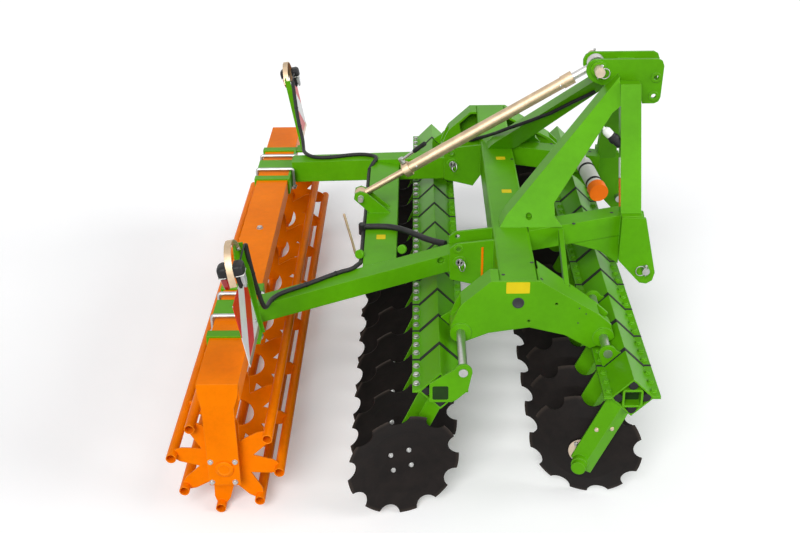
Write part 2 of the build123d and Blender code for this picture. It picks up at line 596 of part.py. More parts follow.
# Roller beam: folded channel with an end plate and bearing bore each side
rb = box(ROLLER_BEAM_X0, ROLLER_BEAM_X1, -ROLLER_HALF, ROLLER_HALF, ROLLER_BEAM_Z - ROLLER_BEAM_H,
         ROLLER_BEAM_Z)
w = ROLLER_BEAM_T
rb -= box(ROLLER_BEAM_X0 + w, ROLLER_BEAM_X1 - w, -ROLLER_HALF - 1, ROLLER_HALF + 1,
          ROLLER_BEAM_Z - ROLLER_BEAM_H - 1, ROLLER_BEAM_Z - w)
end_plate = [(ROLLER_BEAM_X0, ROLLER_BEAM_Z), (ROLLER_BEAM_X1, ROLLER_BEAM_Z),
             (ROLLER_BEAM_X1 - 6, 637), (LEG_X1, 571), (LEG_X1, LEG_FOOT_Z), (LEG_X0, LEG_FOOT_Z),
             (LEG_X0, 571), (ROLLER_BEAM_X0 + 2, 637)]
for y0 in (-ROLLER_HALF - END_PLATE_T, ROLLER_HALF):
    rb += slab(end_plate, y0, y0 + END_PLATE_T)
    rb -= rod_y(ROLLER_X, ROLLER_Z, AXLE_R + RUN, y0 - 1, y0 + END_PLATE_T + 1)
save("roller_beam", rb)

# Cage roller: shaft, star plates and eight bars
star_ys = [-ROLLER_HALF + 50, -1080, -650, -215, 215, 650, 1080, ROLLER_HALF - 50]
axle_end = ROLLER_HALF + END_PLATE_T - 1
cage = rod_y(ROLLER_X, ROLLER_Z, AXLE_R, -axle_end, -ROLLER_HALF + 80)
cage += rod_y(ROLLER_X, ROLLER_Z, AXLE_R, ROLLER_HALF - 80, axle_end)
angles = [TUBE_PHASE + 360 / TUBES * i for i in range(TUBES)]


def star(y):
    """Plate with one tapered arm for each bar."""
    pts = []
    for a in angles:
        for da, r in ((-22.5, 122), (-10, 206), (-6, 230), (6, 230), (10, 206)):
            b = math.radians(a + da)
            pts.append((ROLLER_X + r * math.cos(b), ROLLER_Z + r * math.sin(b)))
    plate = slab(pts, y - STAR_T / 2, y + STAR_T / 2)
    if abs(y) < ROLLER_HALF - 100:
        plate -= rod_y(ROLLER_X, ROLLER_Z, STAR_HOLE_R, y - 20, y + 20)
    return plate


def bar_centre(angle):
    """Point of a bar's axis on the roller's circle."""
    b = math.radians(angle)
    return ROLLER_X + TUBE_CIRCLE * math.cos(b), ROLLER_Z + TUBE_CIRCLE * math.sin(b)


for y in star_ys:
    cage += star(y)
for a in angles:
    cage += rod_y(*bar_centre(a), TUBE_R, -ROLLER_HALF + 8, ROLLER_HALF - 8)
for a in angles:
    cage -= rod_y(*bar_centre(a), TUBE_R - BAR_WALL, -ROLLER_HALF, ROLLER_HALF)
save("cage_roller", cage)

# Cross tube of the roller frame with the spindle's bracket
CT_X0, CT_X1, CT_Z0, CT_Z1 = -320.0, -160.0, 700.0, 800.0
cx, cz = CLEVIS_PIN
ct = box(CT_X0, CT_X1, -700, 700, CT_Z0, CT_Z1)
# mitred ends on the inner faces of the arms
grow_rate = (ROLLER_ARM_END_Y - PIVOT_Y) / (90 - ARM_FACE_X)
mitre = [(x, PIVOT_Y - ARM_BOX_W / 2 + (90 - x) * grow_rate) for x in (CT_X0 - 50, CT_X1 + 50)]
plan = [mitre[0], mitre[1], (mitre[1][0], -mitre[1][1]), (mitre[0][0], -mitre[0][1])]
ct &= extrude(make_face(Pos(0, 0, 600) * Polyline(*plan, close=True)), amount=400, dir=(0, 0, 1))
for s in (-1, 1):
    y0 = min(s * 30, s * 42)
    ct += slab([(CT_X0 + 20, CT_Z1 - 5), (cx - 36, cz - 6), (cx - 30, cz + 24), (cx, cz + 36),
                (cx + 36, cz + 22), (CT_X1 - 30, CT_Z1 - 5)], y0, y0 + 12)
ct -= rod_y(cx, cz, CLEVIS_PIN_R + SLIP, -60, 60)
save("roller_cross_tube", ct)
save("clevis_pin", rod_y(cx, cz, CLEVIS_PIN_R, -70, 70))

# Spindle: front rod, tube and rear rod on one line between the two pins
A = Vector(sx, 0, sz)
B = Vector(cx, 0, cz)
line = (A - B).normalized()
span = (A - B).length


def on_line(d):
    """Point d from the rear eye towards the front pin."""
    return tuple(B + line * d)


eye_front = rod_y(sx, sz, 44, -28, 28) + round_bar(on_line(span - 190), on_line(span - 30), 19)
eye_front -= rod_y(sx, sz, SPINDLE_PIN_R + RUN, -60, 60)
tube = round_bar(on_line(TUBE_START), on_line(span - 130), 29)
tube += round_bar(on_line(COLLAR[0]), on_line(COLLAR[1]), COLLAR_R)
tube += round_bar(on_line(span - 190), on_line(span - 130), 33)
tube -= round_bar(on_line(TUBE_START - 10), on_line(span - 400), 17.5)
tube -= round_bar(on_line(span - 200), on_line(span - 60), 19)
rod_eye = rod_y(cx, cz, 34, -26, 26) + round_bar(on_line(20), on_line(REAR_ROD_END), 17)
rod_eye -= rod_y(cx, cz, CLEVIS_PIN_R + EYE_PLAY, -60, 60)
save("spindle_front_rod", eye_front)
save("spindle_tube", tube)
save("spindle_rear_rod", rod_eye)

# Warning boards: each stands on a post on the roller beam and leans back; local Y runs up the slope
BOARD_FOOT = (-768.0, 735.0)          # X and Z of the board's lower edge
BOARD_LEAN = (-0.1697, 0.9855)        # unit vector up the slope in X and Z
BOARD_Y0, BOARD_Y1 = 1122.0, 1440.0
BOARD_H = 300.0
BOARD_T = 3.0
POST_Y0, POST_Y1 = 1085.0, 1180.0
POST_T = 6.0
POST_TOP = 430.0
POST_FLANGE = ((16, -38), (16, 30), (26, 250), (26, 420), (0, 420), (0, -38))   # in front, up
LAMP_PLATE_T = 4.0
LAMP_Y = 1300.0
LAMP_S = 400.0                        # lamp centre up the slope
LAMP_SIZE = (76.0, 60.0, 54.0)        # across, up, deep
LENS_SIZE = (60.0, 48.0, 40.0)


def leaned(points, n0, n1):
    """Plate of a (y, up) outline on the left board's slope, between two distances in front of it."""
    plane = Plane(origin=(BOARD_FOOT[0], 0, BOARD_FOOT[1]), x_dir=(0, 1, 0),
                  z_dir=(BOARD_LEAN[1], 0, -BOARD_LEAN[0]))
    face = make_face(plane.offset(n0) * Polyline(*points, close=True))
    return extrude(face, amount=n1 - n0, dir=(BOARD_LEAN[1], 0, -BOARD_LEAN[0]))


def block(y, s, size, n0):
    """Block on the slope, its back n0 in front of the board's back face."""
    wide, high, depth = size
    y0, y1, s0, s1 = y - wide / 2, y + wide / 2, s - high / 2, s + high / 2
    return leaned([(y0, s0), (y1, s0), (y1, s1), (y0, s1)], n0, n0 + depth)


def both(shape):
    """The left piece and its mirror image on the right."""
    return [shape, mirrored(shape)]


board = leaned([(BOARD_Y0, 0), (BOARD_Y1, 0), (BOARD_Y1, BOARD_H), (BOARD_Y0, BOARD_H)], 0, BOARD_T)
save("warning_boards", *both(board))
foot_s = (ROLLER_BEAM_Z - BOARD_FOOT[1]) / BOARD_LEAN[1]
post = leaned([(POST_Y0, foot_s), (POST_Y1, foot_s), (POST_Y1, POST_TOP - 35),
               (POST_Y1 - 30, POST_TOP), (POST_Y0, POST_TOP)], -POST_T, 0)
post_side = Plane(origin=(BOARD_FOOT[0], POST_Y0, BOARD_FOOT[1]), z_dir=(0, 1, 0),
                  x_dir=(BOARD_LEAN[1], 0, -BOARD_LEAN[0]))
post += extrude(make_face(post_side * Polyline(*[(n, -s) for n, s in POST_FLANGE], close=True)),
                amount=POST_T, dir=(0, 1, 0))
shelf = box(ARM_FACE_X, BOARD_FOOT[0] + 10, POST_Y0, POST_Y1, ROLLER_BEAM_Z - 6, ROLLER_BEAM_Z + 6)
save("board_posts", *both(post + shelf))
lamp_plate = leaned([(1092, 395), (1118, 466), (1200, 508), (1274, 484), (1312, 415), (1316, 335),
                     (1284, 335), (1280, 402), (1250, 458), (1200, 476), (1150, 444), (1122, 395)],
                    0, LAMP_PLATE_T)
save("lamp_brackets", *both(lamp_plate))
front_lamp = block(LAMP_Y, LAMP_S, LAMP_SIZE, LAMP_PLATE_T)
rear_lamp = block(LAMP_Y, LAMP_S, LAMP_SIZE, -LAMP_SIZE[2])
save("lamps", *both(front_lamp), *both(rear_lamp))
lens_s = LAMP_S - LAMP_SIZE[1] / 2 - LENS_SIZE[1] / 2
front_lens = block(LAMP_Y, lens_s, LENS_SIZE, LAMP_PLATE_T)
rear_lens = block(LAMP_Y, lens_s, LENS_SIZE, -LENS_SIZE[2])
save("lamp_lenses_front", *both(front_lens))
save("lamp_lenses_rear", *both(rear_lens))


def cable(points, r):
    """Round cable of straight runs joined by arcs as large as the runs allow."""
    pts = [Vector(*p) for p in points]
    radii = []
    for a, b, c in zip(pts, pts[1:], pts[2:]):
        turn = math.radians((b - a).get_angle(c - b))
        radii.append(0.45 * min((b - a).length, (c - b).length) / math.tan(turn / 2))
    path = FilletPolyline(*[tuple(p) for p in pts], radius=radii)
    start = Plane(origin=tuple(pts[0]), z_dir=tuple(pts[1] - pts[0]))
    print("cable radii", [round(v) for v in radii], "length", round(path.length))
    return sweep(start * Circle(r), path)


# Lamp cables clipped along posts and arms; the right one runs on along the cross tube
CABLE_R = 11.0
CONDUIT_R = 13.0
SEAT_GAP = 0.3


def arm_top(x, in_from_edge):
    """Point of a cable that lies on the left arm's top, measured in from its inner edge."""
    y = PIVOT_Y - ARM_BOX_W / 2 + (90 - x) * grow_rate + in_from_edge
    return (x, y, PZ + ARM_OVER_PIVOT + ARM_LEAN * (x - PX) + CABLE_R + SEAT_GAP)


tube_back = CT_X0 - CABLE_R - SEAT_GAP     # X of a cable along the cross tube's rear face
lamp_run = [(-797, LAMP_Y - LAMP_SIZE[0] / 2 - 3.6, 1128), (-790, 1190, 1150), (-788, 1110, 1120),
            (-783, 1072, 1040), (-768, 1070, 930), (-752, 1066, 830), (-742, 1035, 776),
            (-726, 960, 768)]
right_run = lamp_run + [arm_top(-680, 20), arm_top(-560, 12), arm_top(-460, 22), arm_top(-380, 14),
                        (-352, 645, 824), (tube_back, 590, 792), (tube_back, 480, 782),
                        (tube_back, 380, 786), (tube_back, 238, 778)]
left_run = lamp_run + [arm_top(-670, 40), arm_top(-570, 30), arm_top(-480, 90), arm_top(-410, 60),
                       arm_top(-375, 14), (-352, 645, 822), (tube_back, 600, 780),
                       (tube_back, 500, 768), (tube_back, 400, 778), (tube_back, 320, 770)]
print("arm cables")
right_cable = cable([(x, -y, z) for x, y, z in right_run], CABLE_R)
left_cable = cable(left_run, CABLE_R)
tube_top = CT_Z1 + CONDUIT_R + SEAT_GAP
conduit = cable([(-345, -240, tube_top), (-250, -234, tube_top), (-165, -250, tube_top),
                 (-80, -330, tube_top + 6), (10, -450, tube_top + 20), (82, -503, tube_top + 31)],
                CONDUIT_R)
save("lamp_cables", right_cable, left_cable, conduit)

# Document canister on the left longitudinal box, its cap towards the right
CAN_CAP = (899.0, 0.0, 885.0)
CAN_END = (855.0, 300.0, 925.0)
CAN_R, CAN_CAP_R = 43.0, 50.0
CAN_CAP_L = 55.0
can_dir = (Vector(*CAN_END) - Vector(*CAN_CAP)).normalized()
cap_face = Vector(*CAN_CAP) + can_dir * CAN_CAP_L
save("canister_cap", round_bar(CAN_CAP, tuple(cap_face), CAN_CAP_R))
can = round_bar(tuple(cap_face), CAN_END, CAN_R)
can += box(838, 868, 292, 410, CROSS_Z1, CROSS_Z1 + 4)
save("document_canister", can)

# Lever of the spindle's ratchet: a boss on the collar and a handle that leans forward
LEVER_BOSS_R, LEVER_BOSS_H = 14.0, 32.0
LEVER_R = 8.0
LEVER_TIP = (-15.0, -71.0, 1200.0)
collar_mid = Vector(*on_line(sum(COLLAR) / 2))
away = Vector(-line.Z, 0, line.X)          # square to the spindle, upward
boss_foot = collar_mid + away * (COLLAR_R + 0.3)
boss_top = boss_foot + away * LEVER_BOSS_H
lever = round_bar(tuple(boss_foot), tuple(boss_top), LEVER_BOSS_R)
lever += round_bar(tuple(boss_top - away * LEVER_BOSS_R), LEVER_TIP, LEVER_R)
save("spindle_lever", lever)
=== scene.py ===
import math

import bmesh
import bpy
import numpy as np
from mathutils import Matrix, Vector


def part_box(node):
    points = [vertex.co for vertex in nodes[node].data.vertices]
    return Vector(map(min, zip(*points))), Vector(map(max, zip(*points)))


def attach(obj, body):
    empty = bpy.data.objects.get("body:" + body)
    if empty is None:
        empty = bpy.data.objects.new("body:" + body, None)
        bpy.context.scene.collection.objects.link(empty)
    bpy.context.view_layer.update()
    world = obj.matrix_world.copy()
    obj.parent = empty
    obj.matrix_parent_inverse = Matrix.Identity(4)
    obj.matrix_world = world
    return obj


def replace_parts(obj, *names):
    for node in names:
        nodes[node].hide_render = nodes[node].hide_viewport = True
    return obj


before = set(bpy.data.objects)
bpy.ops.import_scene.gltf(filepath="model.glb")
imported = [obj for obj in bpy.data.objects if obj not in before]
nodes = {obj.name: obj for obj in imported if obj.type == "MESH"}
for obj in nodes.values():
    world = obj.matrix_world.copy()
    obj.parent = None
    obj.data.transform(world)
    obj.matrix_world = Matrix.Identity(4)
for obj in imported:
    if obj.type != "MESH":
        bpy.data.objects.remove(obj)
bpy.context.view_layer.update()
scene = bpy.context.scene

# Studio: a camera above the right side of the harrow, a wide soft light from above the camera with
# a weaker one from the tractor's side, a white room and a pale floor.
CAMERA_AT = Vector((-0.0468, -5.6008, 3.3887))
YAW, DOWN, ROLL = -0.0188, 0.4819, -0.0165
FOCAL_SHARE = 1163.05 / 800      # focal length in picture widths

forward = Vector((math.sin(YAW) * math.cos(DOWN), math.cos(YAW) * math.cos(DOWN), -math.sin(DOWN)))
level = Vector((math.cos(YAW), -math.sin(YAW), 0))
upright = level.cross(forward)
right = math.cos(ROLL) * level + math.sin(ROLL) * upright
upward = math.cos(ROLL) * upright - math.sin(ROLL) * level
camera = bpy.data.objects.new("camera", bpy.data.cameras.new("camera"))
camera.data.sensor_width = 36.0
camera.data.lens = 36.0 * FOCAL_SHARE
camera.data.clip_start, camera.data.clip_end = 0.1, 200.0
turned = Matrix((right, upward, -forward)).transposed().to_4x4()
camera.matrix_world = Matrix.Translation(CAMERA_AT) @ turned
scene.collection.objects.link(camera)
scene.camera = camera
scene.view_settings.view_transform = "Standard"


def sun(name, towards, strength, softness):
    """Even light that travels along a direction, with soft shadows."""
    lamp = bpy.data.objects.new(name, bpy.data.lights.new(name, "SUN"))
    lamp.data.energy = strength
    lamp.data.angle = math.radians(softness)
    lamp.rotation_mode = "QUATERNION"
    lamp.rotation_quaternion = Vector(towards).to_track_quat("-Z", "Y")
    scene.collection.objects.link(lamp)


sun("key", (0.22, 0.85, -0.62), 2.5, 34)
sun("side", (-0.95, 0.15, -0.35), 1.6, 40)


def blank_tree(tree):
    """Empties a node tree and gives back the function that adds a node to it."""
    tree.nodes.clear()

    def add(kind, *feeds, **values):
        """New node. Values go to its settings or inputs by name, and feeds to its inputs in order.
        Each is a plain value, a socket, or a node, which stands for its first output."""
        made = tree.nodes.new("ShaderNode" + kind)
        for key, value in [*values.items(), *enumerate(feeds)]:
            if isinstance(key, str) and hasattr(made, key):
                setattr(made, key, value)
                continue
            socket = made.inputs[key.replace("_", " ") if isinstance(key, str) else key]
            if isinstance(value, bpy.types.Node):
                value = value.outputs[0]
            if isinstance(value, bpy.types.NodeSocket):
                tree.links.new(value, socket)
            else:
                socket.default_value = value
        return made

    return add


def seen_directly(add):
    """1 for rays from the camera and those it sees by gloss or through glass."""
    path = add("LightPath").outputs
    either = add("Math", path["Is Camera Ray"], path["Is Glossy Ray"], operation="MAXIMUM")
    return add("Math", either, path["Is Transmission Ray"], operation="MAXIMUM")


world = bpy.data.worlds.new("room")
scene.world = world
world.use_nodes = True
add = blank_tree(world.node_tree)
room = add("Background", Color=(0.95, 0.97, 1.0, 1), Strength=0.34)
backdrop = add("Background", Color=(1, 1, 1, 1), Strength=1.0)
add("OutputWorld", add("MixShader", seen_directly(add), room, backdrop))


def ramp(add, value, low, high, colours):
    """Colour that goes from the first to the second of colours as value goes from low to high."""
    made = add("ValToRGB", value)
    for stop, place, colour in zip(made.color_ramp.elements, (low, high), colours):
        stop.position, stop.color = place, (*colour, 1)
    return made


def finish_material(name, build):
    """New node material: build(add) gives what goes to the inputs of its surface."""
    made = bpy.data.materials.new(name)
    made.use_nodes = True
    add = blank_tree(made.node_tree)
    add("OutputMaterial", add("BsdfPrincipled", **build(add)))
    return made


def floor_finish(add):
    """Pale matt floor with a faint mottle, whiter to the camera than to the light that bounces."""
    mottle = add("TexNoise", add("TexCoord").outputs["Object"], Scale=1.7, Detail=3.0)
    tint = ramp(add, mottle, 0.0, 1.0, [(0.90, 0.90, 0.90), (0.95, 0.95, 0.95)])
    direct = seen_directly(add)
    return dict(Base_Color=add("MixRGB", direct, (0.5, 0.5, 0.5, 1), tint), Roughness=0.9,
                Specular_IOR_Level=0.1, Emission_Color=(1, 1, 1, 1),
                Emission_Strength=add("Math", direct, 0.17, operation="MULTIPLY"))


FLOOR_HALF, FLOOR_DROP = 60.0, 0.001
floor_mesh = bpy.data.meshes.new("floor")
corners = [(-1, -1), (1, -1), (1, 1), (-1, 1)]
floor_mesh.from_pydata([(x * FLOOR_HALF, y * FLOOR_HALF, -FLOOR_DROP) for x, y in corners], [],
                       [(0, 1, 2, 3)])
floor = bpy.data.objects.new("floor", floor_mesh)
scene.collection.objects.link(floor)
floor_mesh.materials.append(finish_material("floor_pale", floor_finish))

# Gang beams: two square steel tubes across the machine, each with welded lug plates that carry
# the guide rods. Cut, welded, and coated with a gloss green enamel whose rounded edges carry a
# painted highlight. A dark plate stands for the shaded inside of each open end.


def enamel(name, colour, worn, edge, shine):
    """Enamel on steel: broad tint drift, orange-peel bump, fine dust, rounded edges that are a
    little paler as a painted highlight, and gloss that varies with the dust."""

    def build(add):
        place = add("TexCoord").outputs["Object"]
        drift = add("TexNoise", place, Scale=3.1, Detail=4.0, Roughness=0.55)
        base = ramp(add, drift, 0.3, 0.72,
                    [[c * 0.86 for c in colour], [min(1, c * 1.1) for c in colour]])
        dust = add("TexNoise", place, Scale=38.0, Detail=6.0, Roughness=0.7)
        dusty = ramp(add, dust, 0.35, 0.6, [(0.8, 0.8, 0.78), (1, 1, 1)])
        shade = add("MixRGB", 0.3, base, dusty, blend_type="MULTIPLY")
        round_edge = add("Bevel", samples=4, Radius=edge)
        bend = add("VectorMath", round_edge, add("NewGeometry").outputs["Normal"],
                   operation="DOT_PRODUCT").outputs["Value"]
        # Painted highlight: rim mixes the worn colour, a paler tint of the enamel, onto rounded edges.
        rim = add("MapRange", bend, From_Min=0.98, From_Max=0.82, To_Max=0.4, clamp=True)
        peel = add("TexNoise", place, Scale=260.0, Detail=2.0)
        wave = add("TexNoise", place, Scale=9.0, Detail=1.0)
        relief = add("Math", peel, 0.12, wave, operation="MULTIPLY_ADD")
        return dict(Base_Color=add("MixRGB", rim, shade, (*worn, 1)),
                    Roughness=add("MapRange", dust, To_Min=0.24, To_Max=0.42),
                    Specular_IOR_Level=shine,
                    Normal=add("Bump", Strength=0.12, Distance=0.004, Height=relief,
                               Normal=round_edge))

    return finish_material(name, build)


def dress(finish, *names):
    """Gives CAD nodes a finish in all their material slots."""
    for name in names:
        mesh = nodes[name].data
        mesh.materials.clear()
        mesh.materials.append(finish)


# The second colour is the painted highlight on rounded edges.
green_enamel = enamel("green_enamel", (0.100, 0.365, 0.003), (0.30, 0.62, 0.10), 0.004, 0.11)
dress(green_enamel, "gang_beam_front", "gang_beam_rear")


def slab(long, wide, thick, rounding):
    """Plate on its back face: a rounded rectangle, its corners on arcs, with a small chamfer."""
    turn = np.linspace(0, 2 * np.pi, 24, endpoint=False) + np.pi / 24
    rim = np.stack([np.cos(turn), np.sin(turn)], -1)
    corner = np.sign(rim) * (long / 2 - rounding, wide / 2 - rounding)
    soft = min(thick * 0.3, rounding * 0.6)
    reach = np.array([rounding, rounding, rounding, rounding - soft])
    flat = corner[:, None] + rim[:, None] * reach[None, :, None]
    middle = np.zeros((len(turn), 1, 2))
    flat = np.concatenate([middle, flat, middle], 1)
    height = np.array([0, 0, thick * 0.5, thick - soft, thick, thick])
    return np.concatenate([flat, np.broadcast_to(height[None, :, None], (*flat.shape[:2], 1))], -1)


def placed(shape, spots, axes, across=None):
    """Copies (k, columns, rows, 3) of a shape whose Z lies along each axis at each spot, and
    whose X points as nearly as it can along across."""
    spots, axes = np.atleast_2d(spots).astype(float), np.atleast_2d(axes).astype(float)
    z = np.broadcast_to(axes / np.linalg.norm(axes, axis=1, keepdims=True), spots.shape)
    if across is None:
        across = np.where(np.abs(z[:, :1]) > 0.9, [[0.0, 1.0, 0.0]], [[1.0, 0.0, 0.0]])
    x = across - np.sum(across * z, 1, keepdims=True) * z
    x = x / np.linalg.norm(x, axis=1, keepdims=True)
    frames = np.stack([x, np.cross(z, x), z], 1)
    return np.einsum("...j,kji->k...i", shape, frames) + spots[:, None, None, :]


SHARP_EDGE = math.radians(35.0)


def piece(name, blocks, material, body):
    """One mesh from point grids (..., columns, rows, 3): four neighbouring points make a face,
    the columns close into a ring, and points that coincide are merged."""
    points, faces, first = [], [], 0
    for block in blocks:
        block = np.asarray(block, float)
        block = block.reshape(-1, *block.shape[-3:])
        k, m, n, _ = block.shape
        index = first + np.arange(k * m * n).reshape(k, m, n)
        nxt = np.roll(index, -1, 1)
        quads = np.stack([index[..., :-1], nxt[..., :-1], nxt[..., 1:], index[..., 1:]], -1)
        faces.append(quads.reshape(-1, 4))
        points.append(block.reshape(-1, 3))
        first += k * m * n
    mesh = bpy.data.meshes.new(name)
    mesh.from_pydata(np.concatenate(points).tolist(), [], np.concatenate(faces).tolist())
    whole = bmesh.new()
    whole.from_mesh(mesh)
    bmesh.ops.remove_doubles(whole, verts=whole.verts, dist=2e-6)
    bmesh.ops.dissolve_degenerate(whole, edges=whole.edges, dist=2e-6)
    whole.to_mesh(mesh)
    whole.free()
    mesh.polygons.foreach_set("use_smooth", np.ones(len(mesh.polygons), bool))
    mesh.set_sharp_from_angle(angle=SHARP_EDGE)
    mesh.materials.append(material)
    made = bpy.data.objects.new(name, mesh)
    scene.collection.objects.link(made)
    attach(made, body)
    return made


def matt(name, colour, rough, grain, depth, patchy=0.9):
    """Rubber, lacquer or moulded plastic: grainy and matt, with greyer worn patches."""

    def build(add):
        place = add("TexCoord").outputs["Object"]
        patch = add("TexNoise", place, Scale=14.0, Detail=4.0)
        fine = add("TexNoise", place, Scale=grain, Detail=2.0)
        return dict(Base_Color=ramp(add, patch, 0.35, 0.75,
                                    [colour, [min(1, c * (1 + patchy)) for c in colour]]),
                    Roughness=add("MapRange", patch, To_Min=rough, To_Max=rough + 0.2),
                    Specular_IOR_Level=0.25,
                    Normal=add("Bump", Strength=0.3, Distance=depth, Height=fine))

    return finish_material(name, build)


BEAM_Z = 0.600
ROW_X = {"front": 0.851, "rear": 0.039}
BEAM_ENDS = {"front": (-1.448, 1.462), "rear": (-1.4406, 1.520)}
shaded_green = matt("shaded_green", (0.006, 0.026, 0.001), 0.7, 60.0, 0.0005, 0.8)
openings = [(ROW_X[row], y, BEAM_Z) for row in ("rear", "front") for y in BEAM_ENDS[row]]
piece("beam_openings", [placed(slab(0.068, 0.068, 0.0008, 0.008), openings,
                               [(0, math.copysign(1, y), 0) for _, y, _ in openings], (1, 0, 0))],
      shaded_green, "frame")

# Guide rods: ground steel bars through the lugs and the side frames, on which each row is set
# sideways. Zinc plated, with fine scratches round the bar.


def metal(name, colour, rough, scratch=0.25, streaks=(1, 1, 1)):
    """Plated or bare steel: cloudy plating, fine scratches and stains in the gloss."""

    def build(add):
        along = add("Mapping", add("TexCoord").outputs["Object"], Scale=streaks)
        cloud = add("TexNoise", along, Scale=22.0, Detail=5.0, Roughness=0.6)
        fine = add("TexNoise", along, Scale=240.0, Detail=3.0)
        return dict(Base_Color=ramp(add, cloud, 0.3, 0.7, [[c * 0.72 for c in colour], colour]),
                    Roughness=add("MapRange", fine, To_Min=rough, To_Max=rough + scratch),
                    Metallic=1.0,
                    Normal=add("Bump", Strength=0.15, Distance=0.001, Height=fine,
                               Normal=add("Bevel", samples=4, Radius=0.0015)))

    return finish_material(name, build)


ground_steel = metal("ground_steel", (0.62, 0.62, 0.60), 0.26, 0.2, (1, 9, 1))
dress(ground_steel, "guide_rods")

# Sleeves: upper and lower folded sheets that clamp four rubber cords round the beam, so that each
# disc arm can give way on a stone. Green enamel; the cords are extruded black rubber.
dress(green_enamel, "sleeve_roofs_front", "sleeve_roofs_rear", "disc_arms_front", "disc_arms_rear")
cord_rubber = matt("cord_rubber", (0.010, 0.010, 0.011), 0.6, 300.0, 0.001)
dress(cord_rubber, "rubber_cords_front", "rubber_cords_rear")

# Painted gap shade: a black strip in the rubber finish stands for the shade between two sleeves,
# follows their folded outline round the beam and ends between their flanges. A lug plate stands in
# the middle of some of them.


def lathe(profile, columns=12):
    """Rings (columns, rows, 3) about Z: radius and height run up the profile. A third value of 1
    makes that ring a hexagon: the radius over the cosine of the angle to the nearest flat."""
    profile = np.array(profile, float)
    turn = np.linspace(0, 2 * np.pi, columns, endpoint=False)
    to_flat = (turn + np.pi / 6) % (np.pi / 3) - np.pi / 6
    grow = 1 + (1 / np.cos(to_flat[:, None]) - 1) * (profile[:, 2] if profile.shape[1] > 2 else 0)
    radius = profile[None, :, 0] * grow
    return np.stack([radius * np.cos(turn)[:, None], radius * np.sin(turn)[:, None],
                     np.broadcast_to(profile[None, :, 1], radius.shape)], -1)


SLEEVE_PITCH, SLEEVE_GAP = 0.250, 0.014
SLEEVE_COUNT = 12
GAP_SHADE_IN, GAP_SHADE_OUT, GAP_SHADE_THICK = 0.0612, 0.0952, 0.0250
TONGUE_IN, TONGUE_WIDE, TONGUE_LOW = 0.080, 0.0135, 0.0083
FIRST_Y = {"front": -1.486, "rear": -1.4266}
# These black rings and tongues are painted shade: they stand for the shade inside each gap.
gap_shade_ring = lathe([(GAP_SHADE_IN, 0), (GAP_SHADE_OUT, 0), (GAP_SHADE_OUT, GAP_SHADE_THICK), (GAP_SHADE_IN, GAP_SHADE_THICK),
              (GAP_SHADE_IN, 0)], 4)
for row, beam_x in ROW_X.items():
    y = FIRST_Y[row] + SLEEVE_PITCH * np.arange(1, SLEEVE_COUNT) - SLEEVE_GAP / 2
    spots = np.stack([np.full_like(y, beam_x), y, np.full_like(y, BEAM_Z)], -1)
    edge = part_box(f"sleeve_roofs_{row}")[1][0] - beam_x + 0.001
    tongue = slab(edge - TONGUE_IN, TONGUE_WIDE, 0.0170, 0.003)
    tongues = [placed(tongue, spots + (side * (edge + TONGUE_IN) / 2, 0, -TONGUE_LOW), (0, 0, 1),
                      (1, 0, 0)) for side in (-1, 1)]
    piece(f"painted_gap_shade_{row}", [placed(gap_shade_ring, spots - (0, GAP_SHADE_THICK / 2, 0), (0, 1, 0)), *tongues],
          cord_rubber, "frame")

# Cord ends: the four rubber cords of the front row stand a little out of its last sleeves, round
# where nothing presses them.
CORD_AWAY = 0.0595                           # cord's centre from the beam's centre
cord_end = lathe([(0, -0.004), (0.0185, -0.004), (0.0185, 0.0015), (0.0165, 0.0035), (0, 0.0038)],
                 24)
around_beam = CORD_AWAY * np.array([(1, 0, 0), (-1, 0, 0), (0, 0, 1), (0, 0, -1)])
for name, y, way in (("right", FIRST_Y["front"], -1), ("left", 1.500, 1)):
    piece(f"cord_ends_{name}", [placed(cord_end, around_beam + (ROW_X["front"], y, BEAM_Z),
                                       (0, way, 0))], cord_rubber, "frame")

# Flange bolts: hexagon bolts through both folded halves of every sleeve, three to a side, with a
# washer under the head and a nut below. Zinc plated at the rearmost flange, painted at the others.
zinc = metal("zinc_plating", (0.55, 0.55, 0.54), 0.30)


def hex_bolt(flat, head, washer):
    """Head of a hexagon bolt on its washer: flat is half the width across flats."""
    return lathe([(0, -0.001, 0), (flat * 1.32, -0.001, 0), (flat * 1.32, washer, 0),
                  (flat, washer, 1), (flat, washer + head * 0.82, 1),
                  (flat * 0.93, washer + head, 0), (0, washer + head, 0)])


def nut(flat, high, washer, stud):
    """Nut on its washer with the bolt's end standing out of it."""
    return lathe([(0, -0.001, 0), (flat * 1.32, -0.001, 0), (flat * 1.32, washer, 0),
                  (flat, washer, 1), (flat, washer + high * 0.85, 1),
                  (flat * 0.9, washer + high, 0), (flat * 0.62, washer + high, 0),
                  (flat * 0.62, washer + high + stud, 0), (0, washer + high + stud, 0)])


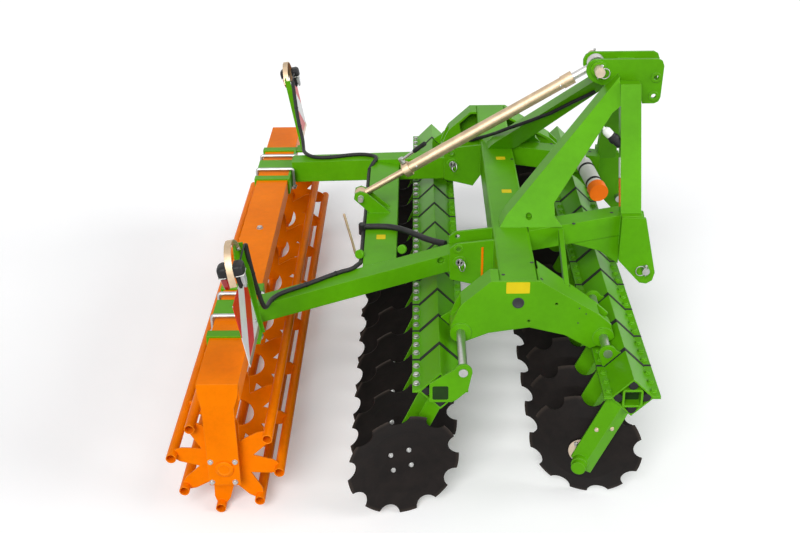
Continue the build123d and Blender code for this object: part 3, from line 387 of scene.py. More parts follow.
FLANGE_TOP, FLANGE_UNDER = 0.607, 0.593
BOLT_STEPS = {"front": (0.038, 0.110, 0.182), "rear": (0.045, 0.115, 0.185)}
BOLT_OUT = {"front": 0.096, "rear": 0.103}
for row, beam_x in ROW_X.items():
    starts = FIRST_Y[row] + SLEEVE_PITCH * np.arange(SLEEVE_COUNT)
    y = (starts[:, None] + np.array(BOLT_STEPS[row])).ravel()
    for edge, side in (("ahead", 1), ("behind", -1)):
        top = np.stack([np.full_like(y, beam_x + side * BOLT_OUT[row]), y,
                        np.full_like(y, FLANGE_TOP)], -1)
        under = top + (0, 0, FLANGE_UNDER - FLANGE_TOP)
        plated = row == "rear" and side < 0
        finish, slot = (zinc, "bright_steel") if plated else (green_enamel, "green_paint")
        piece(f"flange_bolts_{row}_{edge}", [placed(hex_bolt(0.0115, 0.0095, 0.0022), top,
                                                    (0, 0, 1))], finish, "frame")
        piece(f"flange_nuts_{row}_{edge}", [placed(nut(0.0115, 0.011, 0.0022, 0.006), under,
                                                   (0, 0, -1))], finish, "frame")

# Discs: pressed and hardened boron steel with round notches, dipped in a black lacquer that is worn
# to brown-grey at the cutting edge. Four bolts hold each to its hub's gold-passivated flange.


def lacquered_steel(name, colour, bare):
    """Black lacquer with brown bare steel that grows towards the rim, by the worn attribute of
    the disc: the distance from its axis over its radius."""

    def build(add):
        place = add("TexCoord").outputs["Object"]
        cloud = add("TexNoise", place, Scale=16.0, Detail=5.0, Roughness=0.65)
        fine = add("TexNoise", place, Scale=180.0, Detail=3.0)
        dark = ramp(add, cloud, 0.35, 0.75, [colour, [c * 2.2 for c in colour]])
        worn = add("Attribute", attribute_name="worn").outputs["Fac"]
        share = add("MapRange", worn, From_Min=0.93, From_Max=1.0, clamp=True)
        rough_edge = add("Math", share, cloud, operation="MULTIPLY")
        return dict(Base_Color=add("MixRGB", rough_edge, dark, (*bare, 1)),
                    Roughness=add("MapRange", cloud, To_Min=0.42, To_Max=0.7),
                    Specular_IOR_Level=0.14,
                    Normal=add("Bump", Strength=0.2, Distance=0.001, Height=fine,
                               Normal=add("Bevel", samples=4, Radius=0.002)))

    return finish_material(name, build)


DISC_R, DISC_BACK = 0.255, 0.160
DISC_Y = {"front": 0.146, "rear": -0.068}
HUB_SIDE = {"front": -1, "rear": 1}          # which way along Y the hub lies from the disc
DISC_TURN = math.radians(17.0)
black_lacquer = lacquered_steel("black_lacquer", (0.0062, 0.0045, 0.0040), (0.060, 0.045, 0.036))
DISC_FACE, HUB_FACE = 0.046, 0.063           # flat centre and hub flange from the rim's plane
BOLT_CIRCLE, NUT_CIRCLE = 0.059, 0.051
pale_gold_zinc = metal("pale_gold_zinc", (0.74, 0.60, 0.46), 0.32)
flange_face = lathe([(0.0365, -0.0005), (0.0655, -0.0005), (0.0655, 0.0010), (0.0645, 0.0015),
                     (0.0365, 0.0015), (0.0365, -0.0005)], 40)
disc_bolts = hex_bolt(0.0085, 0.007, 0.0015)
hub_nuts = nut(0.0085, 0.009, 0.0015, 0.004)
quarter = np.radians([38, 128, 218, 308])[:, None]
for row, beam_x in ROW_X.items():
    axis = np.array([-math.sin(DISC_TURN), HUB_SIDE[row] * math.cos(DISC_TURN), 0.0])
    across = np.cross(axis, (0, 0, 1))
    ring = np.sin(quarter) * across + np.cos(quarter) * np.array((0.0, 0.0, 1.0))
    for i in range(SLEEVE_COUNT):
        name = f"disc_{row}_{i + 1:02d}"
        dress(black_lacquer, name)
        disc_y = FIRST_Y[row] + SLEEVE_PITCH * i + DISC_Y[row]
        centre = np.array([beam_x - DISC_BACK, disc_y, DISC_R])
        mesh = nodes[name].data
        here = np.empty(len(mesh.vertices) * 3)
        mesh.vertices.foreach_get("co", here)
        here = here.reshape(-1, 3) - centre
        from_axis = np.linalg.norm(here - (here @ axis)[:, None] * axis, axis=1)
        mesh.attributes.new("worn", "FLOAT", "POINT").data.foreach_set("value", from_axis / DISC_R)
        heads = placed(disc_bolts, centre + axis * DISC_FACE + ring * BOLT_CIRCLE, -axis)
        nuts = placed(hub_nuts, centre + axis * HUB_FACE + ring * NUT_CIRCLE, axis)
        piece(f"{name}_bolts", [heads, nuts], zinc, f"{name}_body")
        piece(f"{name}_flange", [placed(flange_face, centre + axis * HUB_FACE, axis)],
              pale_gold_zinc, f"{name}_body")

# Arm bolts: two hexagon bolts through the lower end of the near front arm, tightened flat on the
# folded sheet. Steel with the same pale gold plating as the hub flanges.
piece("arm_bolts", [placed(hex_bolt(0.0075, 0.006, 0.0015),
                           [(0.7131, -1.4673, 0.4234), (0.7765, -1.4735, 0.4332)],
                           [(-0.46, -0.86, 0.21), (0.46, -0.86, -0.21)])],
      pale_gold_zinc, "frame")

# Side frames: box-backed plates that join the crossbeam to both guide rods. Green enamel; a grey
# plastic plug closes the big hole, and a blank yellow plate marks the right one.
dress(green_enamel, "side_frame_right", "side_frame_left")
grey_plastic = matt("grey_plastic", (0.032, 0.032, 0.036), 0.45, 400.0, 0.0004, 0.5)
FRAME_FACE = {"right": -1.105, "left": 1.170}
CROSSBEAM_TOP = 0.958
plug_cap = lathe([(0, -0.012), (0.024, -0.012), (0.024, -0.001), (0.027, 0.0005), (0.026, 0.003),
                  (0.020, 0.0035), (0.017, 0.0015), (0, 0.0012)], 32)
for side, y in FRAME_FACE.items():
    out = math.copysign(1, y)
    piece(f"hole_plug_{side}", [placed(plug_cap, (0.390, y, 0.850), (0, out, 0))], grey_plastic,
          "frame")
yellow_label = matt("yellow_label", (0.68, 0.53, 0.005), 0.45, 200.0, 0.0002, 0.08)
piece("blank_plate_side", [placed(slab(0.104, 0.056, 0.0012, 0.004),
                                  (0.387, FRAME_FACE["right"], 0.926), (0, -1, 0), (1, 0, 0))],
      yellow_label, "frame")

# Crossbeam: a square box girder with the four pivot plates of the roller arms. Green enamel, with
# small blank yellow plates on top and on the tube behind, an orange bar on the right outer pivot
# plate, and plastic plugs in its drain holes and in the side frame's small ones.
dress(green_enamel, "crossbeam")
piece("blank_plates_top", [placed(slab(0.050, 0.040, 0.0012, 0.004),
                                  [(0.402, 0.314, CROSSBEAM_TOP), (0.4035, -0.130, CROSSBEAM_TOP)],
                                  (0, 0, 1), (1, 0, 0))], yellow_label, "frame")
# The second colour is the painted highlight on rounded edges.
orange_enamel = enamel("orange_enamel", (1.0, 0.215, 0.0), (1.0, 0.40, 0.05), 0.005, 0.04)
piece("pivot_plate_bar", [placed(slab(0.168, 0.011, 0.004, 0.002), (0.2525, -0.677, 0.829),
                                 (0, -1, 0), (0, 0, 1))], orange_enamel, "frame")
piece("blank_plate_tube", [placed(slab(0.046, 0.050, 0.0012, 0.004), (-0.2395, -0.329, 0.800),
                                  (0, 0, 1), (1, 0, 0))],
      yellow_label, "roller_frame")
drain_plug = lathe([(0, -0.002), (0.0085, -0.002), (0.0085, 0.0006), (0.0070, 0.0012),
                    (0, 0.0004)], 16)
drains = [(0.462, -0.300), (0.462, -0.925), (0.325, -1.040), (0.462, 0.300), (0.462, 0.925)]
piece("drain_plugs_top", [placed(drain_plug, [(x, y, CROSSBEAM_TOP) for x, y in drains],
                                 (0, 0, 1))], grey_plastic, "frame")
face_dot = lathe([(0, -0.002), (0.0035, -0.002), (0.0035, 0.0005), (0, 0.0004)], 12)
dots = [(x, FRAME_FACE["right"], z) for x, z in ((0.6627, 0.820), (0.6937, 0.7911),
                                                 (0.6599, 0.745))]
piece("side_frame_dots", [placed(face_dot, dots, (0, -1, 0)),
                          placed(drain_plug, (0.4923, -1.0736, 0.9527), (0.54, 0, 0.84))],
      grey_plastic, "frame")

# Pivot pins of the roller arms: hollow zinc-plated pins, each held by a spring pin whose ring
# snaps over its end.
dress(zinc, "roller_pivot_pins")


def wire(path, radius, normal, columns=8, closed=False):
    """Round wire along a path that is nearly flat: circles about each point, square to the path,
    and set by normal, the direction square to the path's plane. Open ends close to a point."""
    path = np.asarray(path, float)
    if closed:
        path = np.concatenate([path, path[:1]])
        along = np.roll(path[:-1], -1, 0) - np.roll(path[:-1], 1, 0)
        along = np.concatenate([along, along[:1]])
    else:
        along = np.gradient(path, axis=0)
    along /= np.linalg.norm(along, axis=1, keepdims=True)
    side = np.cross(normal, along)
    side /= np.linalg.norm(side, axis=1, keepdims=True)
    up = np.cross(along, side)
    turn = np.linspace(0, 2 * np.pi, columns, endpoint=False)[:, None, None]
    grid = path + radius * (np.cos(turn) * side + np.sin(turn) * up)
    if closed:
        return grid
    ends = [np.broadcast_to(path[i], (columns, 1, 3)) for i in (0, -1)]
    return np.concatenate([ends[0], grid, ends[1]], 1)


SPRING_R, SPRING_WIRE = 0.0255, 0.0027
PIN_R = 0.0046
around = np.linspace(0, 2 * np.pi, 28, endpoint=False)
ring_path = np.stack([SPRING_R * (1 + np.cos(around)) * 0.96, np.zeros_like(around),
                      SPRING_R * np.sin(around)], -1)
spring_ring = wire(ring_path, SPRING_WIRE, (0, 1, 0), 6, True)


def spring_pin(spots, axes, across, down, up):
    """Pin along the axis, from down below the spot to its head up above it, and the ring that lies
    to one side of it."""
    pin = lathe([(0, -down - 0.004), (PIN_R * 0.5, -down - 0.004), (PIN_R, -down), (PIN_R, up),
                 (PIN_R * 1.6, up + 0.001), (PIN_R * 1.6, up + 0.006), (PIN_R, up + 0.009),
                 (0, up + 0.009)], 10)
    return [placed(pin, spots, axes, across), placed(spring_ring, spots, axes, across)]


pivot_ends = [(0.146, -0.6885, 0.832), (0.146, 0.5205, 0.832)]
piece("pivot_spring_pins", spring_pin(pivot_ends, (0.25, 0, 1), (-0.2, -0.1, -1.0), 0.022, 0.010),
      zinc, "frame")

# Headstock: two folded braces, two leaning posts, boxes and lower-link plates, all welded and
# dipped in the same green. Plastic plugs close the boxes' drain holes.
dress(green_enamel, "headstock")
box_drains = [(x, side * y, CROSSBEAM_TOP) for side in (-1, 1)
              for x, y in ((0.700, 0.520), (0.900, 0.400))]
piece("headstock_drain_plugs", [placed(drain_plug, box_drains, (0, 0, 1))], grey_plastic, "frame")

# Post strips, brace hose and parked plug: a white and an orange strip on the right post's rear
# face, a black rubber hose clipped along the left brace and led down to the far pivot plate, and
# the lamps' plug parked in a moulded holder on the post.
POST_MID, POST_UP = np.array((0.940, -0.333, 1.1016)), np.array((0.0, 0.42, 0.907))
orange_strip = matt("orange_strip", (0.95, 0.21, 0.002), 0.4, 200.0, 0.0002, 0.1)
white_strip = matt("white_strip", (0.80, 0.80, 0.78), 0.35, 200.0, 0.0002, 0.1)
for name, material, at, long in (("white", white_strip, 0.062, 0.100),
                                 ("orange", orange_strip, -0.060, 0.140)):
    piece(f"post_strip_{name}", [placed(slab(long, 0.044, 0.0015, 0.003), POST_MID + POST_UP * at,
                                        (-1, 0, 0), POST_UP)], material, "frame")
HOSE_R = 0.0095
hose_way = np.array([(0.2462, 0.6610, 0.9268), (0.2915, 0.6320, 0.9512), (0.3381, 0.5700, 0.9888),
                     (0.3894, 0.4650, 1.0491), (0.4283, 0.3410, 1.1164), (0.5044, 0.2917, 1.1638),
                     (0.5553, 0.2723, 1.1904), (0.6004, 0.2531, 1.2168), (0.6551, 0.2314, 1.2466),
                     (0.6983, 0.2070, 1.2800), (0.7690, 0.1671, 1.3348), (0.8206, 0.1410, 1.3706),
                     (0.8600, 0.1190, 1.4010)])
piece("brace_hose", [wire(hose_way, HOSE_R, (0, 0.81, 0.59), 14)], cord_rubber, "frame")
HOLDER_AT, HOLDER_WAY = np.array((0.9405, -0.262, 1.262)), np.array((-0.72, 0.10, 0.69))
holder = lathe([(0, -0.004), (0.022, -0.004), (0.022, 0.030), (0.027, 0.032), (0.027, 0.050),
                (0.024, 0.053), (0.024, 0.066), (0.020, 0.069), (0, 0.069)], 28)
plug = lathe([(0, 0.066), (0.0215, 0.066), (0.0225, 0.070), (0.0225, 0.098), (0.017, 0.108),
              (0.0095, 0.113), (0.0085, 0.128), (0, 0.129)], 28)
holder_plastic = matt("holder_plastic", (0.012, 0.012, 0.013), 0.4, 500.0, 0.0005)
piece("plug_holder", [placed(holder, HOLDER_AT, HOLDER_WAY)], holder_plastic, "frame")
piece("parked_plug", [placed(plug, HOLDER_AT, HOLDER_WAY)], white_strip, "frame")

# Hitch pins: turned and zinc-plated pins for the lower links and the spindle's front eye, each
# with a spring pin through its end.
dress(zinc, "lower_link_pins")
dress(pale_gold_zinc, "spindle_pin_front")
link_ends = [(1.070, side * 0.510, 0.690) for side in (-1, 1)]
piece("link_spring_pins", spring_pin(link_ends, (0, 0, 1), (-0.25, 0.0, -1.0), 0.026, 0.024),
      zinc, "frame")
mast_ends = [(0.840, side * 0.136, 1.588) for side in (-1, 1)]
piece("mast_spring_pins", spring_pin(mast_ends, (0.3, 0, 1), (1, 0, 0.1), 0.032, 0.030),
      zinc, "frame")

# Document canister: a white tube with an orange screw cap, both moulded in plastic. Two black
# rubber straps hold it on the left box.
white_plastic = matt("white_plastic", (0.66, 0.65, 0.62), 0.32, 160.0, 0.0003, 0.12)
cap_plastic = matt("orange_cap", (0.93, 0.165, 0.001), 0.38, 160.0, 0.0004, 0.15)
dress(white_plastic, "document_canister")
dress(cap_plastic, "canister_cap")
CAN_CAP, CAN_END = np.array((0.899, 0.0, 0.885)), np.array((0.855, 0.300, 0.925))
can_way = (CAN_END - CAN_CAP) / np.linalg.norm(CAN_END - CAN_CAP)
strap = lathe([(0.0431, 0), (0.0452, 0), (0.0452, 0.016), (0.0431, 0.016), (0.0431, 0)], 40)
piece("canister_straps", [placed(strap, [CAN_CAP + can_way * d for d in (0.085, 0.232)], can_way)],
      cord_rubber, "frame")

# Spindle: a zinc-plated screw tube between the top bracket and the roller frame, gold passivated,
# with a ratchet lever whose end has a rubber grip.
gold_zinc = metal("gold_zinc", (0.68, 0.52, 0.35), 0.38)
pale_zinc = metal("pale_zinc", (0.70, 0.68, 0.66), 0.28)
dress(gold_zinc, "spindle_tube", "spindle_rear_rod")
dress(pale_zinc, "spindle_front_rod", "clevis_pin")
dress(zinc, "spindle_lever")
SCREW_FROM, SCREW_TO = np.array((0.840, 0.0, 1.588)), np.array((-0.351, 0.0, 0.886))
screw_way = (SCREW_FROM - SCREW_TO) / np.linalg.norm(SCREW_FROM - SCREW_TO)
LEVER_TIP = np.array((-0.015, -0.071, 1.200))
LEVER_ALONG, LEVER_RISE = 0.2855, 0.0583     # lever's foot from the rear eye, along and above
lever_foot = (SCREW_TO + screw_way * LEVER_ALONG
              + np.array((-screw_way[2], 0, screw_way[0])) * LEVER_RISE)
lever_way = (LEVER_TIP - lever_foot) / np.linalg.norm(LEVER_TIP - lever_foot)
grip = lathe([(0, -0.085), (0.0095, -0.085), (0.0115, -0.080), (0.0120, -0.060), (0.0108, -0.040),
              (0.0120, -0.020), (0.0115, 0.002), (0.007, 0.006), (0, 0.006)], 18)
piece("lever_grip", [placed(grip, LEVER_TIP, lever_way)], cord_rubber, "spindle_front")
greaser = lathe([(0, -0.002, 0), (0.0055, -0.002, 1), (0.0055, 0.004, 1), (0.0030, 0.006, 0),
                 (0.0030, 0.010, 0), (0.0036, 0.012, 0), (0.0020, 0.015, 0), (0, 0.015, 0)])
piece("spindle_greasers", [placed(greaser, [SCREW_TO + screw_way * d + (0, -0.029, 0)
                                            for d in (0.340, 1.180)], (0, -1, 0))],
      zinc, "spindle_front")
piece("clevis_pin_nuts", [placed(nut(0.0125, 0.012, 0.002, 0.004),
                                 [SCREW_TO + (0, side * 0.042, 0) for side in (-1, 1)],
                                 [(0, -1, 0), (0, 1, 0)])], zinc, "roller_frame")

# Roller frame: two arms that widen outwards, joined by a cross tube. Welded box section in green
# enamel, with a thin plated lever and two painted latch knobs on the tube.
dress(green_enamel, "roller_arm_right", "roller_arm_left", "roller_cross_tube")
piece("depth_lever", [wire([(-0.3588, -0.540, 0.815), (-0.372, -0.540, 0.880),
                            (-0.390, -0.540, 0.955), (-0.4067, -0.540, 1.028)], 0.0062,
                           (0, 1, 0), 10)], gold_zinc, "roller_frame")
knob = lathe([(0, -0.004), (0.021, -0.004), (0.023, 0.0), (0.023, 0.014), (0.020, 0.018),
              (0, 0.018)], 24)
piece("latch_knobs", [placed(knob, [(-0.1290, -0.5100, 0.822), (-0.335, -0.540, 0.812)],
                             [(-0.25, -1, 0.35), (-0.4, -1, 0.3)])],
      green_enamel, "roller_frame")

# Roller beam and cage roller: a folded channel whose end plates carry the shaft's bearings, and
# star plates with eight steel tubes. Orange enamel; zinc-plated bolts hold the bearings, and bent
# zinc-plated rods with nuts below clamp the beam to its arms.
dress(orange_enamel, "roller_beam", "cage_roller")
dress(zinc, "beam_clamp_bolts")
END_FACE, ROLLER_AT = 1.512, (-0.906, 0.2585)    # end plates' outer faces; shaft's X and Z
end_bolts = [(x, s * END_FACE, z) for s in (-1, 1)
             for x, z in ((-0.965, 0.295), (-0.857, 0.295), (-0.966, 0.186), (-0.864, 0.186))]
piece("bearing_bolts", [placed(hex_bolt(0.0095, 0.0075, 0.002), end_bolts,
                               [(0, math.copysign(1, y), 0) for _, y, _ in end_bolts])],
      zinc, "roller_frame")
bearing = lathe([(0, -0.002), (0.038, -0.002), (0.040, 0.0005), (0.040, 0.007), (0.034, 0.011),
                 (0.026, 0.012), (0.024, 0.0095), (0, 0.0095)], 40)
shaft_ends = [(ROLLER_AT[0], s * END_FACE, ROLLER_AT[1]) for s in (-1, 1)]
piece("bearing_covers", [placed(bearing, shaft_ends, [(0, s, 0) for s in (-1, 1)])],
      orange_enamel, "roller_frame")
piece("beam_top_bolt", [placed(hex_bolt(0.013, 0.010, 0.0025), (-0.8985, -0.002, 0.697),
                               (0, 0, 1))], zinc, "roller_frame")
CLAMP_Y, CLAMP_FRONT, CLAMP_REAR = (0.760, 0.970), (-0.7907, 0.612), (-1.0023, 0.637)
clamp_spots = [(x, s * y, z) for s in (-1, 1) for y in CLAMP_Y
               for x, z in (CLAMP_FRONT, CLAMP_REAR)]
piece("clamp_nuts", [placed(nut(0.0145, 0.014, 0.003, 0.0), clamp_spots, (0, 0, -1))],
      zinc, "roller_frame")

# Warning boards: white aluminium with slanting red stripes, a plated channel along the lower edge,
# on folded green posts that stand on the roller beam.
BOARD_FOOT = np.array((-0.768, 0.0, 0.735))  # foot of the posts, in the machine's middle plane
BOARD_MIDDLE = 1.281                         # middle of a board, outwards from there
BOARD_LEAN = np.array((-0.1697, 0.0, 0.9855))    # up the slope of posts and boards
BOARD_OUT = np.array((0.9855, 0.0, 0.1697))      # square to it, to the front
STRIPE_PERIOD, STRIPE_START = 0.30, 1.8828
dress(green_enamel, "board_posts")


def striped(add):
    """White with red stripes: the distance out from the machine's middle plus the distance up
    the board, in periods; the second half of each period is red. Faint dirt lies over both."""
    place = add("TexCoord").outputs["Object"]
    parts = add("SeparateXYZ", place).outputs
    outward = add("Math", parts["Y"], operation="ABSOLUTE")
    along = add("Math", parts["Z"], 1 / BOARD_LEAN[2], outward, operation="MULTIPLY_ADD")
    periods = add("Math", along, 1 / STRIPE_PERIOD, -STRIPE_START / STRIPE_PERIOD,
                  operation="MULTIPLY_ADD")
    share = add("Math", periods, operation="FRACT")
    red_part = add("Math", share, 0.5, operation="GREATER_THAN")
    tone = add("MixRGB", red_part, (0.72, 0.72, 0.72, 1), (0.62, 0.010, 0.012, 1))
    dirt = add("TexNoise", place, Scale=11.0, Detail=5.0)
    soil = ramp(add, dirt, 0.3, 0.6, [(0.82, 0.81, 0.78), (1, 1, 1)])
    bead = add("TexNoise", place, Scale=900.0, Detail=1.0)
    return dict(Base_Color=add("MixRGB", 0.5, tone, soil, blend_type="MULTIPLY"), Roughness=0.32,
                Specular_IOR_Level=0.3,
                Normal=add("Bump", Strength=0.08, Distance=0.0004, Height=bead))


dress(finish_material("striped_board", striped), "warning_boards")
TRIM_WIDE = 0.026
trim = slab(0.318, TRIM_WIDE, 0.006, 0.002)
trim_at = BOARD_FOOT + BOARD_LEAN * TRIM_WIDE / 2 - BOARD_OUT * 0.0015
piece("board_trims", [placed(trim, [trim_at + (0, s * BOARD_MIDDLE, 0) for s in (-1, 1)],
                             BOARD_OUT, (0, 1, 0))], pale_gold_zinc, "roller_frame")
post_bolts = [BOARD_FOOT + (0, side * 1.150, 0) + BOARD_LEAN * up + BOARD_OUT * 0.003
              for side in (1, -1) for up in (0.060, 0.240)]
piece("board_bolts", [placed(hex_bolt(0.0065, 0.005, 0.0012), post_bolts, BOARD_OUT)],
      zinc, "roller_frame")

# Lamps: on each post two moulded black housings stand back to back on a gold-plated hoop of flat
# bar, with a red lens to the rear, a clear one to the front, and a pale seam round each housing.
black_plastic = matt("black_plastic", (0.012, 0.012, 0.013), 0.38, 500.0, 0.0005)


def lens(name, colour):
    """Moulded lens: tinted clear plastic with fine upright ribs as a sine wave across Y."""

    def build(add):
        ribs = add("TexWave", add("TexCoord").outputs["Object"], Scale=70.0, Distortion=0.0,
                   bands_direction="Y").outputs["Fac"]
        return dict(Base_Color=ramp(add, ribs, 0.2, 0.8, [[c * 0.75 for c in colour], colour]),
                    Roughness=0.12, Coat_Weight=0.4,
                    Normal=add("Bump", Strength=0.4, Distance=0.001, Height=ribs))

    return finish_material(name, build)


def on_slope(grid, side):
    """Points given as (out, across, up the slope) of the left board, brought into place; side -1
    mirrors them and turns the columns round, so that the faces still look outward."""
    stood = grid @ np.stack([BOARD_OUT, (0, 1, 0), BOARD_LEAN]) + BOARD_FOOT
    return stood if side > 0 else (stood * (1, -1, 1))[::-1]


def moulded(rows, half, middle, stack):
    """Rounded block: in each row a superellipse (|a|^4 + |b|^4 = 1) of the row's share of half the
    size, at the row's place along the axis stack of (out, across, up)."""
    rows = np.array(rows, float)
    turn = np.linspace(0, 2 * np.pi, 32, endpoint=False)
    rim = np.stack([np.cos(turn), np.sin(turn)], -1)
    rim = np.sign(rim) * np.sqrt(np.abs(rim))
    flat = rim[:, None, :] * rows[None, :, 1, None] * half
    grid = np.zeros((len(turn), len(rows), 3))
    first, second = (stack + 1) % 3, (stack + 2) % 3
    grid[..., first], grid[..., second] = flat[..., 0], flat[..., 1]
    grid[..., stack] = rows[:, 0]
    return grid + middle


HOOP = np.array([(1.106, 0.395), (1.118, 0.425), (1.140, 0.453), (1.172, 0.477), (1.210, 0.490),
                 (1.250, 0.488), (1.286, 0.471), (1.314, 0.442), (1.330, 0.409), (1.336, 0.372),
                 (1.336, 0.335)])
along_hoop = np.gradient(HOOP, axis=0)
along_hoop /= np.linalg.norm(along_hoop, axis=1, keepdims=True)
outward_hoop = np.stack([along_hoop[:, 1], -along_hoop[:, 0]], -1)
bar = np.array([(-0.015, -0.002), (0.015, -0.002), (0.015, 0.002), (-0.015, 0.002)])
hoop_grid = np.stack([np.concatenate([np.full((len(HOOP), 1), n), HOOP + outward_hoop * t], 1)
                      for n, t in bar])
hoop_ends = [np.broadcast_to(np.concatenate([[0], HOOP[i]]), (4, 1, 3)) for i in (0, -1)]
hoop_grid = np.concatenate([hoop_ends[0], hoop_grid, hoop_ends[1]], 1)
shell = [(0.0152, 0), (0.0152, 0.96), (0.019, 1), (0.038, 1), (0.047, 0.93), (0.054, 0.78),
         (0.057, 0.55), (0.058, 0)]
shell_rear = [(-n, share) for n, share in reversed(shell)]
tail = [(0.312, 0), (0.312, 0.45), (0.318, 0.68), (0.340, 0.90), (0.376, 1.0), (0.376, 0)]
band = slab(0.0755, 0.0415, 0.0042, 0.010)
LAMP_Y, LAMP_UP, SEAM_OUT, SEAM_UP = 1.300, 0.400, 0.0362, 0.380
hoops, housings, reds, clears, seams = [], [], [], [], []
for side in (-1, 1):
    hoops.append(on_slope(hoop_grid, side))
    housings += [on_slope(moulded(rows, (0.038, 0.030), (0, LAMP_Y, LAMP_UP), 0), side)
                 for rows in (shell, shell_rear)]
    housings.append(on_slope(moulded(tail, (0.011, 0.027), (0.024, LAMP_Y, 0), 2), side))
    clears.append(on_slope(moulded(tail, (0.010, 0.026), (0.043, LAMP_Y, 0.002), 2), side))
    reds.append(on_slope(moulded(tail, (0.018, 0.026), (-0.034, LAMP_Y, 0.002), 2), side))
    seam_at = BOARD_FOOT + (0, side * LAMP_Y, 0) + BOARD_LEAN * SEAM_UP
    seams.append(placed(band, [seam_at + BOARD_OUT * n for n in (SEAM_OUT, -SEAM_OUT)], BOARD_LEAN,
                        (0, 1, 0)))
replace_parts(piece("lamp_hoops", hoops, gold_zinc, "roller_frame"), "lamp_brackets")
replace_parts(piece("lamp_housings", housings, black_plastic, "roller_frame"),
            "lamps")
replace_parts(piece("red_lenses", reds, lens("red_lens", (0.40, 0.004, 0.006)), "roller_frame"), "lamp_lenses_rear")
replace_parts(piece("clear_lenses", clears, lens("clear_lens", (0.50, 0.51, 0.51)), "roller_frame"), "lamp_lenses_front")
piece("lamp_seams", seams, white_plastic, "roller_frame")
piece("hoop_bolts", [placed(hex_bolt(0.008, 0.006, 0.0015),
                            [BOARD_FOOT + (0, s * 1.1115, 0) + BOARD_LEAN * 0.404
                             + BOARD_OUT * 0.004 for s in (-1, 1)], BOARD_OUT)],
      zinc, "roller_frame")

# Lamp cables: black corrugated sleeves clipped along posts, arms and cross tube, with plastic
# ties. Their ribs are a wave in the finish, and their tone varies in patches.


def sleeved(add):
    """Black sleeve with fine ribs: a wave over the sum of the place's X, Y and Z."""
    place = add("TexCoord").outputs["Object"]
    ribs = add("TexWave", place, Scale=95.0, Distortion=0.4, bands_direction="DIAGONAL")
    patch = add("TexNoise", place, Scale=20.0, Detail=4.0)
    return dict(Base_Color=ramp(add, patch, 0.35, 0.75,
                                [(0.008, 0.008, 0.009), (0.020, 0.019, 0.019)]),
                Roughness=0.48, Specular_IOR_Level=0.35,
                Normal=add("Bump", Strength=0.5, Distance=0.0015, Height=ribs.outputs["Fac"]))


cable_finish = finish_material("cable_sleeve", sleeved)
CABLE_R, CONDUIT_R, LEAD_R = 0.011, 0.0155, 0.004
ARM_RISE, ARM_SPREAD = 0.14256, 0.29293      # fall of an arm's top and growth of its Y rearwards
ARM_PIVOT, ARM_WAIST, ARM_TOP = 0.146, (0.090, 0.550), 0.874
TUBE_TOP, TUBE_REAR = 0.800, -0.320
tube_back = TUBE_REAR - CABLE_R


def on_arm(x, inward, side):
    """Point of a cable on an arm's top, at x and that far out from the arm's inner edge."""
    y = ARM_WAIST[1] + (ARM_WAIST[0] - x) * ARM_SPREAD + inward
    return (x, side * y, ARM_TOP + (x - ARM_PIVOT) * ARM_RISE + CABLE_R)


def soft_cable(name, path, radius):
    """Round cable along a smooth curve of the second degree that its points draw, ends closed."""
    curve = bpy.data.curves.new(name, "CURVE")
    curve.dimensions = "3D"
    curve.bevel_depth, curve.bevel_resolution = radius, 4
    curve.use_fill_caps = True
    run = curve.splines.new("NURBS")
    run.points.add(len(path) - 1)
    run.points.foreach_set("co", np.concatenate([path, np.ones((len(path), 1))], 1).ravel())
    run.order_u, run.use_endpoint_u, run.resolution_u = 3, True, 8
    curve.materials.append(cable_finish)
    made = bpy.data.objects.new(name, curve)
    scene.collection.objects.link(made)
    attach(made, "roller_frame")
    return made


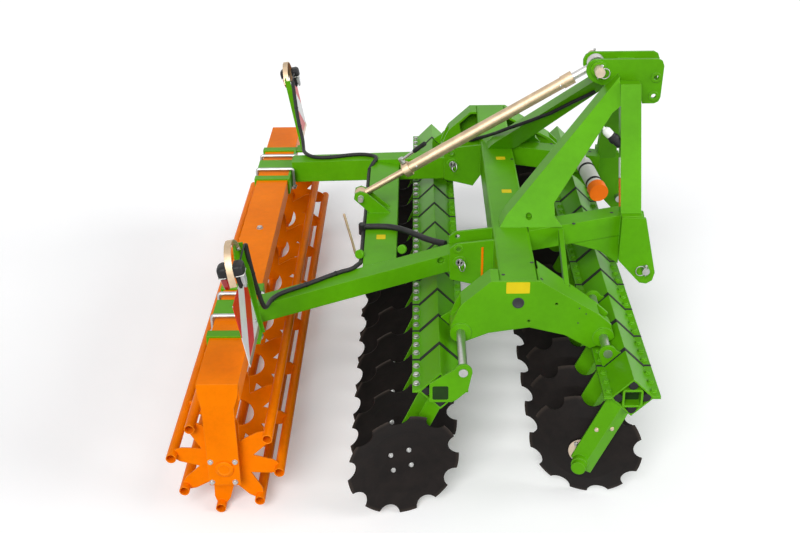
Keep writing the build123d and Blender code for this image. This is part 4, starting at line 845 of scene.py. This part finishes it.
post_run = [(-0.800, 1.100, 1.147), (-0.785, 1.069, 0.981), (-0.768, 1.045, 0.876),
            (-0.752, 1.038, 0.800), (-0.745, 0.985, 0.770)]
mirror = np.array((1, -1, 1))
right_run = np.concatenate([post_run * mirror, [
    (-0.737, -0.900, 0.762), on_arm(-0.695, 0.062, -1), on_arm(-0.587, 0.050, -1),
    on_arm(-0.433, 0.008, -1), on_arm(-0.365, 0.014, -1), (-0.336, -0.640, 0.812),
    (tube_back, -0.590, 0.790), (tube_back, -0.480, 0.782), (tube_back, -0.380, 0.786),
    (tube_back, -0.238, 0.790)]])
left_run = np.concatenate([post_run, [
    (-0.735, 0.905, 0.762), on_arm(-0.670, 0.040, 1), on_arm(-0.570, 0.030, 1),
    on_arm(-0.430, 0.070, 1), on_arm(-0.335, 0.060, 1), on_arm(-0.285, 0.015, 1),
    (-0.305, 0.625, 0.813), (tube_back, 0.585, 0.785), (tube_back, 0.480, 0.768),
    (tube_back, 0.300, 0.772), (tube_back, 0.120, 0.760), (tube_back, -0.080, 0.758),
    (tube_back, -0.226, 0.786)]])
conduit_run = np.array([(-0.340, -0.240, 0), (-0.250, -0.234, 0), (-0.165, -0.250, 0),
                        (-0.080, -0.330, 0.006), (0.010, -0.450, 0.020), (0.082, -0.503, 0.031)])
lead_run = np.array([(-0.806, 1.266, 1.134), (-0.803, 1.225, 1.150), (-0.798, 1.170, 1.166),
                     (-0.797, 1.120, 1.168), (-0.800, 1.100, 1.140)])
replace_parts(soft_cable("lamp_cable_right", right_run, CABLE_R), "lamp_cables")
soft_cable("lamp_cable_left", left_run, CABLE_R)
soft_cable("cable_conduit", conduit_run + (0, 0, TUBE_TOP + CONDUIT_R), CONDUIT_R)
soft_cable("lamp_lead_left", lead_run, LEAD_R)
soft_cable("lamp_lead_right", lead_run * mirror, LEAD_R)
joint = lathe([(0, -0.030), (0.017, -0.030), (0.019, -0.028), (0.019, 0.026), (0.016, 0.030),
               (0, 0.030)], 20)
piece("cable_joint", [placed(joint, (tube_back - 0.006, -0.238, 0.803), (0, 0, 1))], black_plastic,
      "roller_frame")
tie = lathe([(CABLE_R - 0.001, -0.0035), (CABLE_R + 0.0016, -0.0035), (CABLE_R + 0.0022, 0),
             (CABLE_R + 0.0016, 0.0035), (CABLE_R - 0.001, 0.0035), (CABLE_R - 0.001, -0.0035)], 20)
tie_runs = [(right_run, k) for k in (1, 2, 7, 8, 12)] + [(left_run, k) for k in (1, 2, 7, 12, 14)]
tie_spots = [(run[k - 1] + 6 * run[k] + run[k + 1]) / 8 for run, k in tie_runs]
tie_axes = [run[k + 1] - run[k - 1] for run, k in tie_runs]
piece("cable_ties", [placed(tie, np.array(tie_spots), np.array(tie_axes))], black_plastic,
      "roller_frame")
